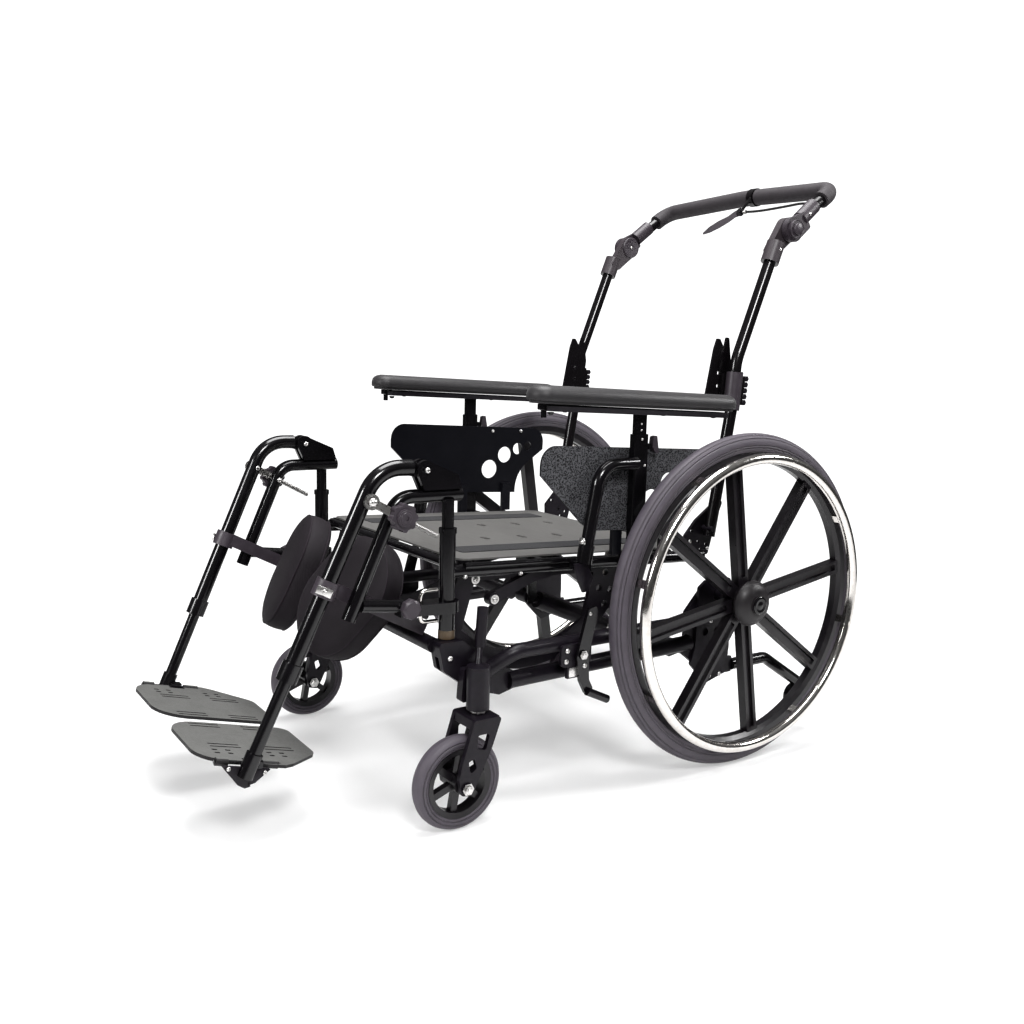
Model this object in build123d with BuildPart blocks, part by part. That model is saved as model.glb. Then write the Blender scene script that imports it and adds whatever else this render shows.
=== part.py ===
from build123d import *
from math import cos, radians, sin
import os

# A manual tilt in space wheelchair, in millimetres.
#
# Sizes are taken from the axis of the rear wheels: Y runs from the rear axle, with the
# front of the chair at -Y, Z runs up from the floor, and +X is the occupant's left.
# Every piece moves back by AXLE_SETBACK when it is written, so that the origin is on the
# floor, at the middle of the whole chair.

AXLE_SETBACK = 315.92

# Rear wheels
WHEEL_X = 326.5
AXLE_Y = 3.5
WHEEL_RADIUS = 305.0
TYRE_WIDTH = 34.0
TYRE_SEAT_RADIUS = 272.0
RIM_INNER_RADIUS = 254.0
HANDRIM_RADIUS = 262.9
HANDRIM_TUBE = 19.0
HANDRIM_X = 364.0
SPOKES = 8
SPOKE_START = 9.0
AXLE_PIN_RADIUS = 6.4

# Casters
CASTER_X = 297.0
STEM_Y = -541.0
CASTER_Y = -578.0
CASTER_RADIUS = 76.0
CASTER_RIM_RADIUS = 50.0
CASTER_WIDTH = 30.0
STEM_RADIUS = 8.0

# Tilt: the seat rolls on two curved rocker plates about this line
TILT_Y = -400.0
TILT_Z = 440.0
ROCKER_RADIUS = 226.0
ROCKER_BAND = 32.0
ROCKER_X = 222.0
ROCKER_THICKNESS = 8.0
ROLLER_RADIUS = 14.0
ROLLER_GAP = 0.3
FRONT_ROLLER_ANGLE = 234.0
REAR_ROLLER_ANGLE = 288.0

# Seat
SEAT_SLOPE = 2.35
SEAT_Y = -309.7
SEAT_Z = 406.9
PAN_HALF_WIDTH = 240.0
PAN_FRONT = -545.0
PAN_REAR = -62.0
PAN_THICKNESS = 3.0
RAIL_X = 240.0
POST_X = 243.0
POST_Y = -568.0
POST_TOP = 469.0
POST_BOTTOM = 294.0
POST_OUTER = 25.5
POST_PIN = 19.0

# Armrests and side panels
PANEL_X = 262.0
PANEL_THICKNESS = 4.0
ARM_X = 275.0
ARM_POST_Y = -212.5

# Legrests
HANGER_X = 235.0
LEG_HINGE_Y = -610.0
LEG_HINGE_Z = 561.5
LEG_TUBE = 25.0
COLLAR_Y = -816.0
COLLAR_Z = 261.0
FOOT_Y = -893.0
FOOT_Z = 120.0
FOOT_SLOPE = 14.8
FOOT_HINGE_X = 200.0

# Back and push handle
CANE_X = 238.0
CANE_TUBE = 22.0
BACK_PIVOT_Y = -2.0
BACK_PIVOT_Z = 425.0
HANDLE_PIVOT_Y = 171.0
HANDLE_PIVOT_Z = 982.0
GRIP_DIAMETER = 33.0

RUNNING_FIT = 0.05
SEAT_PLANE = Plane(
    (0, SEAT_Y, SEAT_Z),
    x_dir=(1, 0, 0),
    z_dir=(0, sin(radians(SEAT_SLOPE)), cos(radians(SEAT_SLOPE))),
)

os.makedirs("parts", exist_ok=True)


def save(part, label):
    """Writes one piece, moved to the chair's own origin."""
    placed = part.moved(Location((0, AXLE_SETBACK, 0)))
    placed.label = label
    export_step(placed, f"parts/{label}.step")


def save_pair(part, label):
    """Writes the left piece and its mirror image on the right."""
    save(part, f"{label}_left")
    save(mirror(part, about=Plane.YZ), f"{label}_right")


def rod(start, end, diameter, mode=Mode.ADD):
    """A round bar between two points."""
    run = Vector(*end) - Vector(*start)
    with BuildSketch(Plane(start, z_dir=run)) as section:
        Circle(diameter / 2)
    extrude(section.sketch, amount=run.length, mode=mode)


def bent_tube(points, diameter, bend, mode=Mode.ADD):
    """A round tube along straight runs joined by bends."""
    with BuildLine() as route:
        FilletPolyline(*points, radius=bend)
    with BuildSketch(Plane(route.line @ 0, z_dir=route.line % 0)) as section:
        Circle(diameter / 2)
    sweep(section.sketch, path=route.line, mode=mode)


def side_plate(outline, x, thickness, corner=0, mode=Mode.ADD):
    """A flat plate drawn from the side, as (y, z) points, and as thick as it is along X."""
    with BuildSketch(Plane.YZ.offset(x)) as face:
        with BuildLine():
            Polyline(*outline, close=True)
        make_face()
        if corner:
            fillet(face.vertices(), corner)
    extrude(face.sketch, amount=thickness, mode=mode)


def cross_holes(centres, x, depth, diameter):
    """Round holes along X, at (y, z) centres."""
    with BuildSketch(Plane.YZ.offset(x)) as holes:
        with Locations(*centres):
            Circle(diameter / 2)
    extrude(holes.sketch, amount=depth, mode=Mode.SUBTRACT)


def seat_z(y, above=0):
    """The height of the sloping seat plane at a depth, or of a point above it."""
    return SEAT_Z - (y - SEAT_Y) * sin(radians(SEAT_SLOPE)) / cos(radians(SEAT_SLOPE)) + above


def arc_point(radius, angle):
    """A point (y, z) round the tilt centre."""
    return (TILT_Y + radius * cos(radians(angle)), TILT_Z + radius * sin(radians(angle)))


# ---------------------------------------------------------------- rear wheels

HUB_INNER_X = 303.0
HUB_OUTER_X = 345.0
HUB_RADIUS = 30.0
SPOKE_WIDTH = 25.0
SPOKE_THICKNESS = 18.0
wheel_plane = Plane((0, AXLE_Y, WHEEL_RADIUS), x_dir=(0, 1, 0), z_dir=(1, 0, 0))
wheel_section = Plane((0, AXLE_Y, WHEEL_RADIUS), x_dir=(1, 0, 0), z_dir=(0, -1, 0))
wheel_axis = Axis((0, AXLE_Y, WHEEL_RADIUS), (1, 0, 0))

with BuildPart() as rear_wheel:
    with BuildSketch(wheel_section) as rim_section:
        with BuildLine():
            Polyline(
                (WHEEL_X - 13, TYRE_SEAT_RADIUS),
                (WHEEL_X + 13, TYRE_SEAT_RADIUS),
                (WHEEL_X + 13, TYRE_SEAT_RADIUS - 11),
                (WHEEL_X + 7, RIM_INNER_RADIUS),
                (WHEEL_X - 7, RIM_INNER_RADIUS),
                (WHEEL_X - 13, TYRE_SEAT_RADIUS - 11),
                close=True,
            )
        make_face()
    revolve(axis=wheel_axis)
    with BuildSketch(wheel_plane.offset(HUB_INNER_X)):
        Circle(HUB_RADIUS)
    extrude(amount=HUB_OUTER_X - HUB_INNER_X)
    spoke_length = RIM_INNER_RADIUS + 3 - HUB_RADIUS + 5
    spoke_middle = (RIM_INNER_RADIUS + 3 + HUB_RADIUS - 5) / 2
    with BuildSketch(wheel_plane.offset(WHEEL_X - SPOKE_THICKNESS / 2)):
        with PolarLocations(spoke_middle, SPOKES, start_angle=SPOKE_START):
            Rectangle(spoke_length, SPOKE_WIDTH)
    extrude(amount=SPOKE_THICKNESS)
    with BuildSketch(wheel_plane.offset(WHEEL_X + SPOKE_THICKNESS / 2)):
        with PolarLocations(spoke_middle + 6, SPOKES, start_angle=SPOKE_START):
            Rectangle(spoke_length - 30, SPOKE_WIDTH - 14)
    extrude(amount=-5, mode=Mode.SUBTRACT)
    with BuildSketch(wheel_plane.offset(HUB_INNER_X)):
        Circle(AXLE_PIN_RADIUS + RUNNING_FIT)
    extrude(amount=HUB_OUTER_X - HUB_INNER_X, mode=Mode.SUBTRACT)
save_pair(rear_wheel.part, "rear_wheel")

with BuildPart() as rear_tyre:
    with BuildSketch(wheel_section):
        with BuildLine():
            half = TYRE_WIDTH / 2
            Line((WHEEL_X - 12, TYRE_SEAT_RADIUS + 0.1), (WHEEL_X + 12, TYRE_SEAT_RADIUS + 0.1))
            ThreePointArc(
                (WHEEL_X + 12, TYRE_SEAT_RADIUS + 0.1),
                (WHEEL_X + half, WHEEL_RADIUS - 18),
                (WHEEL_X + 10, WHEEL_RADIUS - 3),
            )
            ThreePointArc(
                (WHEEL_X + 10, WHEEL_RADIUS - 3),
                (WHEEL_X, WHEEL_RADIUS),
                (WHEEL_X - 10, WHEEL_RADIUS - 3),
            )
            ThreePointArc(
                (WHEEL_X - 10, WHEEL_RADIUS - 3),
                (WHEEL_X - half, WHEEL_RADIUS - 18),
                (WHEEL_X - 12, TYRE_SEAT_RADIUS + 0.1),
            )
        make_face()
    revolve(axis=wheel_axis)
save_pair(rear_tyre.part, "rear_tyre")

STANDOFFS = 8
with BuildPart() as handrim:
    with BuildSketch(wheel_section):
        with Locations((HANDRIM_X, HANDRIM_RADIUS)):
            Circle(HANDRIM_TUBE / 2)
    revolve(axis=wheel_axis)
    standoff_start = WHEEL_X + 13.1
    with BuildSketch(wheel_plane.offset(standoff_start)):
        with PolarLocations(HANDRIM_RADIUS + 3, STANDOFFS, start_angle=SPOKE_START + 22.5):
            Rectangle(9, 14)
    extrude(amount=HANDRIM_X - standoff_start - 5)
save_pair(handrim.part, "handrim")

with BuildPart() as hub_cap:
    with BuildSketch(wheel_section):
        with BuildLine():
            Polyline((HUB_OUTER_X + 0.1, 0), (HUB_OUTER_X + 0.1, 40), (HUB_OUTER_X + 6, 42))
            ThreePointArc((HUB_OUTER_X + 6, 42), (HUB_OUTER_X + 17, 35), (HUB_OUTER_X + 24, 17))
            Polyline((HUB_OUTER_X + 24, 17), (HUB_OUTER_X + 26, 17), (HUB_OUTER_X + 27, 12), (HUB_OUTER_X + 27, 0))
            Line((HUB_OUTER_X + 27, 0), (HUB_OUTER_X + 0.1, 0))
        make_face()
    revolve(axis=wheel_axis)
save_pair(hub_cap.part, "hub_cap")

# ---------------------------------------------------------------- casters

caster_axis = Axis((0, CASTER_Y, CASTER_RADIUS), (1, 0, 0))
caster_section = Plane((0, CASTER_Y, CASTER_RADIUS), x_dir=(1, 0, 0), z_dir=(0, -1, 0))
caster_plane = Plane((0, CASTER_Y, CASTER_RADIUS), x_dir=(0, 1, 0), z_dir=(1, 0, 0))
FORK_INNER = 25.0
FORK_LEG = 8.0
FORK_CROWN = 182.0
BARREL_BOTTOM = 188.5
BARREL_TOP = 257.4
BARREL_RADIUS = 18.5
fork_outline = (
    (-516, FORK_CROWN),
    (-566, FORK_CROWN),
    (-577, 146),
    (-588, 112),
    (-592, 92),
    (-588, 66),
    (-570, 62),
    (-562, 76),
    (-549, 103),
    (-533, 136),
)

with BuildPart() as caster_fork:
    for leg_x in (CASTER_X - FORK_INNER - FORK_LEG, CASTER_X + FORK_INNER):
        side_plate(fork_outline, leg_x, FORK_LEG, corner=5)
        side_plate(((-560, 158), (-538, 158), (-545, 132), (-561, 136)), leg_x, FORK_LEG, 4, Mode.SUBTRACT)
        side_plate(((-576, 118), (-566, 122), (-561, 106), (-572, 98)), leg_x, FORK_LEG, 3, Mode.SUBTRACT)
    side_plate(
        ((-516, FORK_CROWN), (-566, FORK_CROWN), (-569, 165), (-520, 165)),
        CASTER_X - FORK_INNER - 1,
        2 * FORK_INNER + 2,
        corner=3,
    )
    rod((CASTER_X, STEM_Y, FORK_CROWN - 5), (CASTER_X, STEM_Y, BARREL_TOP - 8), 2 * STEM_RADIUS)
    rod((CASTER_X, STEM_Y, FORK_CROWN - 5), (CASTER_X, STEM_Y, BARREL_BOTTOM - 0.4), 26)
    rod(
        (CASTER_X - FORK_INNER - FORK_LEG - 4, CASTER_Y, CASTER_RADIUS),
        (CASTER_X + FORK_INNER + FORK_LEG + 4, CASTER_Y, CASTER_RADIUS),
        10,
    )
save_pair(caster_fork.part, "caster_fork")

with BuildPart() as caster_wheel:
    with BuildSketch(caster_section):
        with BuildLine():
            Polyline(
                (CASTER_X - 13, 56),
                (CASTER_X + 13, 56),
                (CASTER_X + 11, 47),
                (CASTER_X - 11, 47),
                close=True,
            )
        make_face()
    revolve(axis=caster_axis)
    with BuildSketch(caster_plane.offset(CASTER_X - 20)):
        Circle(14)
    extrude(amount=40)
    with BuildSketch(caster_plane.offset(CASTER_X - 6)):
        with PolarLocations(30, 6, start_angle=20):
            Rectangle(40, 11)
    extrude(amount=12)
    with BuildSketch(caster_plane.offset(CASTER_X - 20)):
        Circle(5 + RUNNING_FIT)
    extrude(amount=40, mode=Mode.SUBTRACT)
save_pair(caster_wheel.part, "caster_wheel")

with BuildPart() as caster_tyre:
    with BuildSketch(caster_section):
        with BuildLine():
            Line((CASTER_X - 12, 56.1), (CASTER_X + 12, 56.1))
            ThreePointArc((CASTER_X + 12, 56.1), (CASTER_X + 15, 65), (CASTER_X + 9, CASTER_RADIUS - 2))
            Line((CASTER_X + 9, CASTER_RADIUS - 2), (CASTER_X + 3, CASTER_RADIUS))
            Line((CASTER_X + 3, CASTER_RADIUS), (CASTER_X - 3, CASTER_RADIUS))
            Line((CASTER_X - 3, CASTER_RADIUS), (CASTER_X - 9, CASTER_RADIUS - 2))
            ThreePointArc((CASTER_X - 9, CASTER_RADIUS - 2), (CASTER_X - 15, 65), (CASTER_X - 12, 56.1))
        make_face()
    revolve(axis=caster_axis)
save_pair(caster_tyre.part, "caster_tyre")

# ---------------------------------------------------------------- base frame

LOWER_RAIL_X = 266.0
LOWER_RAIL_Z = 213.0
UPPER_RAIL_X = 284.0
UPPER_RAIL_Z = 266.0
BOW_X = 236.0
BOW_WIDTH = 32.0
STOP_X = 272.0
CROSS_FRONT = (-588.0, 282.0)
CROSS_REAR = (8.0, 176.0)
SPRING_X = 150.0
SPRING_SEAT = (-352.0, 318.0)
SPRING_BASE = (-20.0, 172.0)
PLATE_X = 256.0
front_roller = arc_point(ROCKER_RADIUS + ROLLER_RADIUS + ROLLER_GAP, FRONT_ROLLER_ANGLE)
rear_roller = arc_point(ROCKER_RADIUS + ROLLER_RADIUS + ROLLER_GAP, REAR_ROLLER_ANGLE)

with BuildPart() as base_frame:
    side_plate(
        (
            (-596, 292),
            (-586, 246),
            (-536, 209),
            (-482, 192),
            (-450, 200),
            (-450, 226),
            (-478, 240),
            (-515, 262),
            (-552, 292),
        ),
        BOW_X,
        BOW_WIDTH,
        corner=7,
    )
    side_plate(((-562, 196), (-522, 196), (-515, 250), (-558, 250)), BOW_X + BOW_WIDTH - 2, 16, corner=5)
    rod((CASTER_X, STEM_Y, BARREL_BOTTOM), (CASTER_X, STEM_Y, BARREL_TOP), 2 * BARREL_RADIUS)
    rod((LOWER_RAIL_X, -465, LOWER_RAIL_Z), (LOWER_RAIL_X, -64, LOWER_RAIL_Z + 7), 28)
    bent_tube(
        (
            (LOWER_RAIL_X, -64, UPPER_RAIL_Z - 2),
            (UPPER_RAIL_X, -130, UPPER_RAIL_Z),
            (UPPER_RAIL_X, -462, UPPER_RAIL_Z),
            (BOW_X + 22, -520, LOWER_RAIL_Z + 12),
        ),
        25,
        35,
    )
    side_plate(
        ((-40, 312), (28, 322), (32, 160), (-14, 152), (-72, 196), (-72, 278)),
        PLATE_X,
        8,
        corner=8,
    )
    for roller_y, roller_z in (front_roller, rear_roller):
        rod((ROCKER_X - 11, roller_y, roller_z), (LOWER_RAIL_X - 10, roller_y, roller_z), 10)
    for lug_x in (SPRING_X - 19.5, SPRING_X + 15.5):
        side_plate(((-31, 166), (-25, 183), (6, 187), (6, 165), (-20, 161)), lug_x, 4, corner=3)
    rod((SPRING_X - 19, *SPRING_BASE), (SPRING_X + 19, *SPRING_BASE), 8)
    rod((STOP_X + 13, -534, BARREL_TOP - 4), (STOP_X, -523, 284), 11)
    rod((STOP_X, -523, 280), (STOP_X, -519, 343), 18)
    with Locations((BOW_X + BOW_WIDTH / 2, -590, 252)):
        Box(11, 24, 30, mode=Mode.SUBTRACT)
    mirror(about=Plane.YZ)
    rod((-BOW_X - 4, *CROSS_FRONT), (BOW_X + 4, *CROSS_FRONT), 24)
    rod((-PLATE_X - 3, *CROSS_REAR), (PLATE_X + 3, *CROSS_REAR), 24)
    for side in (1, -1):
        rod(
            (side * CASTER_X, STEM_Y, BARREL_BOTTOM),
            (side * CASTER_X, STEM_Y, BARREL_TOP - 6),
            2 * (STEM_RADIUS + RUNNING_FIT),
            Mode.SUBTRACT,
        )
save(base_frame.part, "base_frame")

with BuildPart() as axle_plate:
    side_plate(
        (
            (-47, 322),
            (-30, 334),
            (34, 334),
            (38, 200),
            (34, 150),
            (-19, 136),
            (-60, 178),
            (-50, 210),
        ),
        PLATE_X + 8.1,
        6,
        corner=8,
    )
    rod((PLATE_X + 8.1, AXLE_Y, WHEEL_RADIUS), (HUB_INNER_X - 1, AXLE_Y, WHEEL_RADIUS), 26)
    rod((PLATE_X + 8.1, AXLE_Y, WHEEL_RADIUS), (HUB_OUTER_X - 1, AXLE_Y, WHEEL_RADIUS), 2 * AXLE_PIN_RADIUS)
    with Locations((PLATE_X + 11, 22, 164)):
        Box(6, 50, 30)
    cross_holes(((AXLE_Y, 268), (AXLE_Y, 236), (-26, 268), (-26, 236), (-14, 200)), PLATE_X + 8, 8, 14)
    mirror(about=Plane.YZ)
save(axle_plate.part, "axle_plates")

for label, (roller_y, roller_z) in (("front", front_roller), ("rear", rear_roller)):
    with BuildPart() as rollers:
        with BuildSketch(Plane((0, roller_y, roller_z), x_dir=(1, 0, 0), z_dir=(0, -1, 0))):
            with BuildLine():
                Polyline(
                    (ROCKER_X - 8, 5 + RUNNING_FIT),
                    (ROCKER_X - 8, ROLLER_RADIUS + 4),
                    (ROCKER_X - 4.5, ROLLER_RADIUS + 4),
                    (ROCKER_X - 4.5, ROLLER_RADIUS),
                    (ROCKER_X + 4.5, ROLLER_RADIUS),
                    (ROCKER_X + 4.5, ROLLER_RADIUS + 4),
                    (ROCKER_X + 8, ROLLER_RADIUS + 4),
                    (ROCKER_X + 8, 5 + RUNNING_FIT),
                    close=True,
                )
            make_face()
        revolve(axis=Axis((0, roller_y, roller_z), (1, 0, 0)))
        mirror(about=Plane.YZ)
    save(rollers.part, f"tilt_rollers_{label}")

# ---------------------------------------------------------------- wheel locks

LOCK_X = 304.0
LOCK_Y = -346.0
LOCK_Z = 250.0
with BuildPart() as lock_mounts:
    side_plate(((-384, 230), (-322, 230), (-322, 268), (-384, 268)), UPPER_RAIL_X + 12.6, 6, corner=8)
    with Locations((UPPER_RAIL_X + 15.6, -349, 220)):
        Box(6, 44, 20)
    rod((UPPER_RAIL_X + 14, LOCK_Y, LOCK_Z), (LOCK_X + 11, LOCK_Y, LOCK_Z), 8)
    mirror(about=Plane.YZ)
save(lock_mounts.part, "wheel_lock_mounts")

with BuildPart() as lock_lever:
    side_plate(
        (
            (-358, 246),
            (-336, 326),
            (-320, 330),
            (-316, 318),
            (-334, 248),
            (-331, 205),
            (-322, 188),
            (-336, 178),
            (-350, 204),
        ),
        LOCK_X,
        7,
        corner=5,
    )
    rod((LOCK_X + 8, -336, 186), (LOCK_X + 8, -292, 165), 14)
    cross_holes(((LOCK_Y, LOCK_Z),), LOCK_X - 1, 9, 2 * (4 + RUNNING_FIT))
save_pair(lock_lever.part, "wheel_lock_lever")

# ---------------------------------------------------------------- anti-tippers

TIPPER_X = 267.1
with BuildPart() as anti_tipper:
    bent_tube(
        ((TIPPER_X, 47.5, 162), (TIPPER_X, 140, 162), (TIPPER_X, 190, 130), (TIPPER_X, 250, 92)),
        22,
        30,
    )
    with BuildSketch(Plane((TIPPER_X - 7, 238, 68), x_dir=(0, 1, 0), z_dir=(1, 0, 0))):
        Circle(25)
    extrude(amount=14)
save_pair(anti_tipper.part, "anti_tipper")

# ---------------------------------------------------------------- seat frame

RAIL_TUBE = 22.0
RAIL_DROP = 19.0
REAR_END = -18.0

with BuildPart() as seat_frame:
    rod(
        (RAIL_X, POST_Y, seat_z(POST_Y, -RAIL_DROP)),
        (RAIL_X, REAR_END, seat_z(REAR_END, -RAIL_DROP)),
        RAIL_TUBE,
    )
    rod(
        (RAIL_X + 9, -540, seat_z(-540, -10)),
        (RAIL_X + 9, -320, seat_z(-320, -10)),
        11,
    )
    rod((POST_X, POST_Y, POST_BOTTOM + 0.5), (POST_X, POST_Y, POST_TOP), POST_OUTER)
    rod((POST_X, POST_Y, POST_TOP - 8), (POST_X, POST_Y, POST_TOP), POST_OUTER + 3)
    for lug_y in (-520, -440, -270, -190):
        with Locations((ROCKER_X + 8, lug_y, seat_z(lug_y, -RAIL_DROP - 3))):
            Box(7.8, 18, 14)
    mirror(about=Plane.YZ)
    for spring_side in (SPRING_X, -SPRING_X):
        for lug_x in (spring_side - 19.5, spring_side + 15.5):
            side_plate(((-361, 309), (-343, 309), (-342, 396), (-362, 396)), lug_x, 4, corner=3)
        rod((spring_side - 19, *SPRING_SEAT), (spring_side + 19, *SPRING_SEAT), 8)
    for cross_y in (-548, -352, -100):
        rod((-RAIL_X, cross_y, seat_z(cross_y, -12)), (RAIL_X, cross_y, seat_z(cross_y, -12)), 16)
    for side in (1, -1):
        rod(
            (side * POST_X, POST_Y, POST_TOP - 60),
            (side * POST_X, POST_Y, POST_TOP + 1),
            POST_PIN + 2 * RUNNING_FIT,
            Mode.SUBTRACT,
        )
save(seat_frame.part, "seat_frame")

with BuildPart() as seat_pan:
    with BuildSketch(SEAT_PLANE) as pan_outline:
        with Locations((0, (PAN_FRONT + PAN_REAR) / 2 - SEAT_Y)):
            RectangleRounded(2 * PAN_HALF_WIDTH, PAN_REAR - PAN_FRONT, 18)
    extrude(amount=-PAN_THICKNESS)
    with BuildSketch(SEAT_PLANE):
        for row in range(4):
            for slot_x in (-70, 70):
                with Locations((slot_x, -388 + 80 * row - SEAT_Y)):
                    SlotOverall(27, 13)
    extrude(amount=-PAN_THICKNESS, mode=Mode.SUBTRACT)
save(seat_pan.part, "seat_pan")

rocker_front_low = arc_point(ROCKER_RADIUS, 226)
rocker_low = arc_point(ROCKER_RADIUS, 270)
rocker_rear_low = arc_point(ROCKER_RADIUS, 321)
band_front = arc_point(ROCKER_RADIUS - ROCKER_BAND, 228)
band_low = arc_point(ROCKER_RADIUS - ROCKER_BAND, 270)
band_rear = arc_point(ROCKER_RADIUS - ROCKER_BAND, 308)
ROCKER_TOP = 40.0
STRUT_BOLT = (-475.0, 343.0)
STRUT_OUTLINE = ((-485, 338), (-478, 354), (-400, 380), (-352, 379), (-362, 368), (-396, 363), (-470, 333))
with BuildPart() as rockers:
    with BuildSketch(Plane.YZ.offset(ROCKER_X - ROCKER_THICKNESS / 2)):
        with BuildLine():
            ThreePointArc(rocker_front_low, rocker_low, rocker_rear_low)
            Polyline(
                rocker_rear_low,
                (-172, seat_z(-172, -ROCKER_TOP + 17)),
                (-536, seat_z(-536, -ROCKER_TOP + 17)),
                (-548, 350),
                rocker_front_low,
            )
        make_face()
        with BuildLine():
            ThreePointArc(band_front, band_low, band_rear)
            Polyline(
                band_rear,
                (-262, seat_z(-262, -ROCKER_TOP)),
                (-506, seat_z(-506, -ROCKER_TOP)),
                band_front,
            )
        make_face(mode=Mode.SUBTRACT)
    extrude(amount=ROCKER_THICKNESS)
    cross_holes(
        ((-235, 362), (-208, 352), (-222, 330), (-235, 305), (-212, 308), (-248, 335)),
        ROCKER_X - ROCKER_THICKNESS,
        2 * ROCKER_THICKNESS,
        13,
    )
    side_plate(STRUT_OUTLINE, ROCKER_X + ROCKER_THICKNESS / 2 - 1, 8, corner=4)
    rod((ROCKER_X, *STRUT_BOLT), (ROCKER_X + ROCKER_THICKNESS / 2 + 12, *STRUT_BOLT), 22)
    mirror(about=Plane.YZ)
save(rockers.part, "rockers")

# ---------------------------------------------------------------- tilt gas spring

SPRING_EYE_GAP = 5.0
spring_top = Vector(SPRING_X, *SPRING_SEAT)
spring_foot = Vector(SPRING_X, *SPRING_BASE)
spring_direction = (spring_top - spring_foot).normalized()


def spring_point(from_foot):
    """A point along the gas spring, measured from its pin on the base."""
    return tuple(spring_foot + spring_direction * from_foot)


with BuildPart() as tilt_rod:
    rod((SPRING_X - 15, *SPRING_BASE), (SPRING_X + 15, *SPRING_BASE), 18)
    rod(spring_point(0), spring_point(265), 12)
    rod(
        (SPRING_X - 16, *SPRING_BASE),
        (SPRING_X + 16, *SPRING_BASE),
        8 + 2 * RUNNING_FIT,
        Mode.SUBTRACT,
    )
    mirror(about=Plane.YZ)
save(tilt_rod.part, "tilt_rod")

with BuildPart() as tilt_cylinder:
    rod(spring_point(170), spring_point(335), 30)
    rod(spring_point(330), tuple(spring_top), 16)
    rod((SPRING_X - 15, *SPRING_SEAT), (SPRING_X + 15, *SPRING_SEAT), 26)
    rod(spring_point(160), spring_point(290), 12 + 2 * RUNNING_FIT, Mode.SUBTRACT)
    rod(
        (SPRING_X - 16, *SPRING_SEAT),
        (SPRING_X + 16, *SPRING_SEAT),
        8 + 2 * SPRING_EYE_GAP,
        Mode.SUBTRACT,
    )
    mirror(about=Plane.YZ)
save(tilt_cylinder.part, "tilt_cylinder")

# ---------------------------------------------------------------- armrests

ARM_TOP_FRONT = 660.0
ARM_SLOPE = 0.041
RECEIVER_TOP = 609.0
RECEIVER_BOTTOM = 400.0
POST_SIZE = (10.0, 24.0)
WALL = 3.0
J_X = 284.0

with BuildPart() as arm_frame:
    with BuildSketch(Plane.XY.offset(RECEIVER_BOTTOM)):
        with Locations((ARM_X, ARM_POST_Y)):
            RectangleRounded(POST_SIZE[0] + 2 * WALL, POST_SIZE[1] + 2 * WALL, 3)
    extrude(amount=RECEIVER_TOP - RECEIVER_BOTTOM)
    bent_tube(((J_X - 3, -222, 560), (J_X, -300, 560), (J_X, -326, 420)), 22, 40)
    rod((J_X, -324.5, 428), (J_X, -330, 398), 27)
    with Locations((270, -326, 391)):
        Box(29, 24, 14)
    with Locations((265.6, ARM_POST_Y, 391)):
        Box(29, 30, 20)
    with BuildSketch(Plane.XY.offset(RECEIVER_BOTTOM + 10)):
        with Locations((ARM_X, ARM_POST_Y)):
            RectangleRounded(POST_SIZE[0] + 0.1, POST_SIZE[1] + 0.1, 1)
    extrude(amount=RECEIVER_TOP - RECEIVER_BOTTOM, mode=Mode.SUBTRACT)
    rod((ARM_X - 8, ARM_POST_Y + 19, 588), (ARM_X + 8, ARM_POST_Y + 19, 588), 10)
    mirror(about=Plane.YZ)
save(arm_frame.part, "arm_frames")

with BuildPart() as arm_post:
    with BuildSketch(Plane.XY.offset(440)):
        with Locations((ARM_X, ARM_POST_Y)):
            RectangleRounded(*POST_SIZE, 1)
    extrude(amount=206)
    side_plate(((-420, 662), (-420, 652), (-18, 634), (-18, 644)), ARM_X - 9, 18, corner=2)
    rod((ARM_X, -414, 640), (ARM_X, -414, 655), 9)
save_pair(arm_post.part, "arm_post")

PAD_LENGTH = 446.0
PAD_WIDTH = 58.0
PAD_MIDDLE_Y = -220.0
arm_pad_plane = Plane(
    (ARM_X, PAD_MIDDLE_Y, 654.3),
    x_dir=(1, 0, 0),
    z_dir=(0, sin(radians(SEAT_SLOPE)), cos(radians(SEAT_SLOPE))),
)
with BuildPart() as arm_pad:
    for height, inset in ((0, 5), (7, 0), (17, 0), (25, 5), (29, 14)):
        with BuildSketch(arm_pad_plane.offset(height)):
            RectangleRounded(PAD_WIDTH - 2 * inset, PAD_LENGTH - 2 * inset, 28 - inset)
    loft()
save_pair(arm_pad.part, "arm_pad")

with BuildPart() as side_panel:
    with BuildSketch(Plane.YZ.offset(PANEL_X - PANEL_THICKNESS / 2)) as panel_face:
        with BuildLine():
            Polyline((-408, 560), (-404, 594), (-28, 576), (-30, 530), (-62, 508))
            ThreePointArc((-62, 508), (-92, 480), (-103, 437))
            Polyline((-103, 437), (-300, 447), (-322, 461), (-408, 545), (-408, 560))
        make_face()
        with Locations((-170, 491)):
            Circle(20, mode=Mode.SUBTRACT)
        with Locations((-131, 521)):
            Circle(17.5, mode=Mode.SUBTRACT)
        with Locations((-97, 533)):
            Circle(12.5, mode=Mode.SUBTRACT)
        with Locations((-71, 538)):
            Circle(10, mode=Mode.SUBTRACT)
        fillet(panel_face.vertices().group_by(Axis.Y)[-1], 30)
        for corner_y, corner_z, corner in ((-28, 576, 30), (-322, 461, 12)):
            fillet(panel_face.vertices().sort_by_distance(Vector(corner_y, corner_z))[0], corner)
    extrude(amount=PANEL_THICKNESS)
    for foot_y in (-240, -130):
        with Locations((PANEL_X - 5.8, foot_y, 430)):
            Box(8, 20, 60)
    mirror(about=Plane.YZ)
save(side_panel.part, "side_panels")

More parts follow.
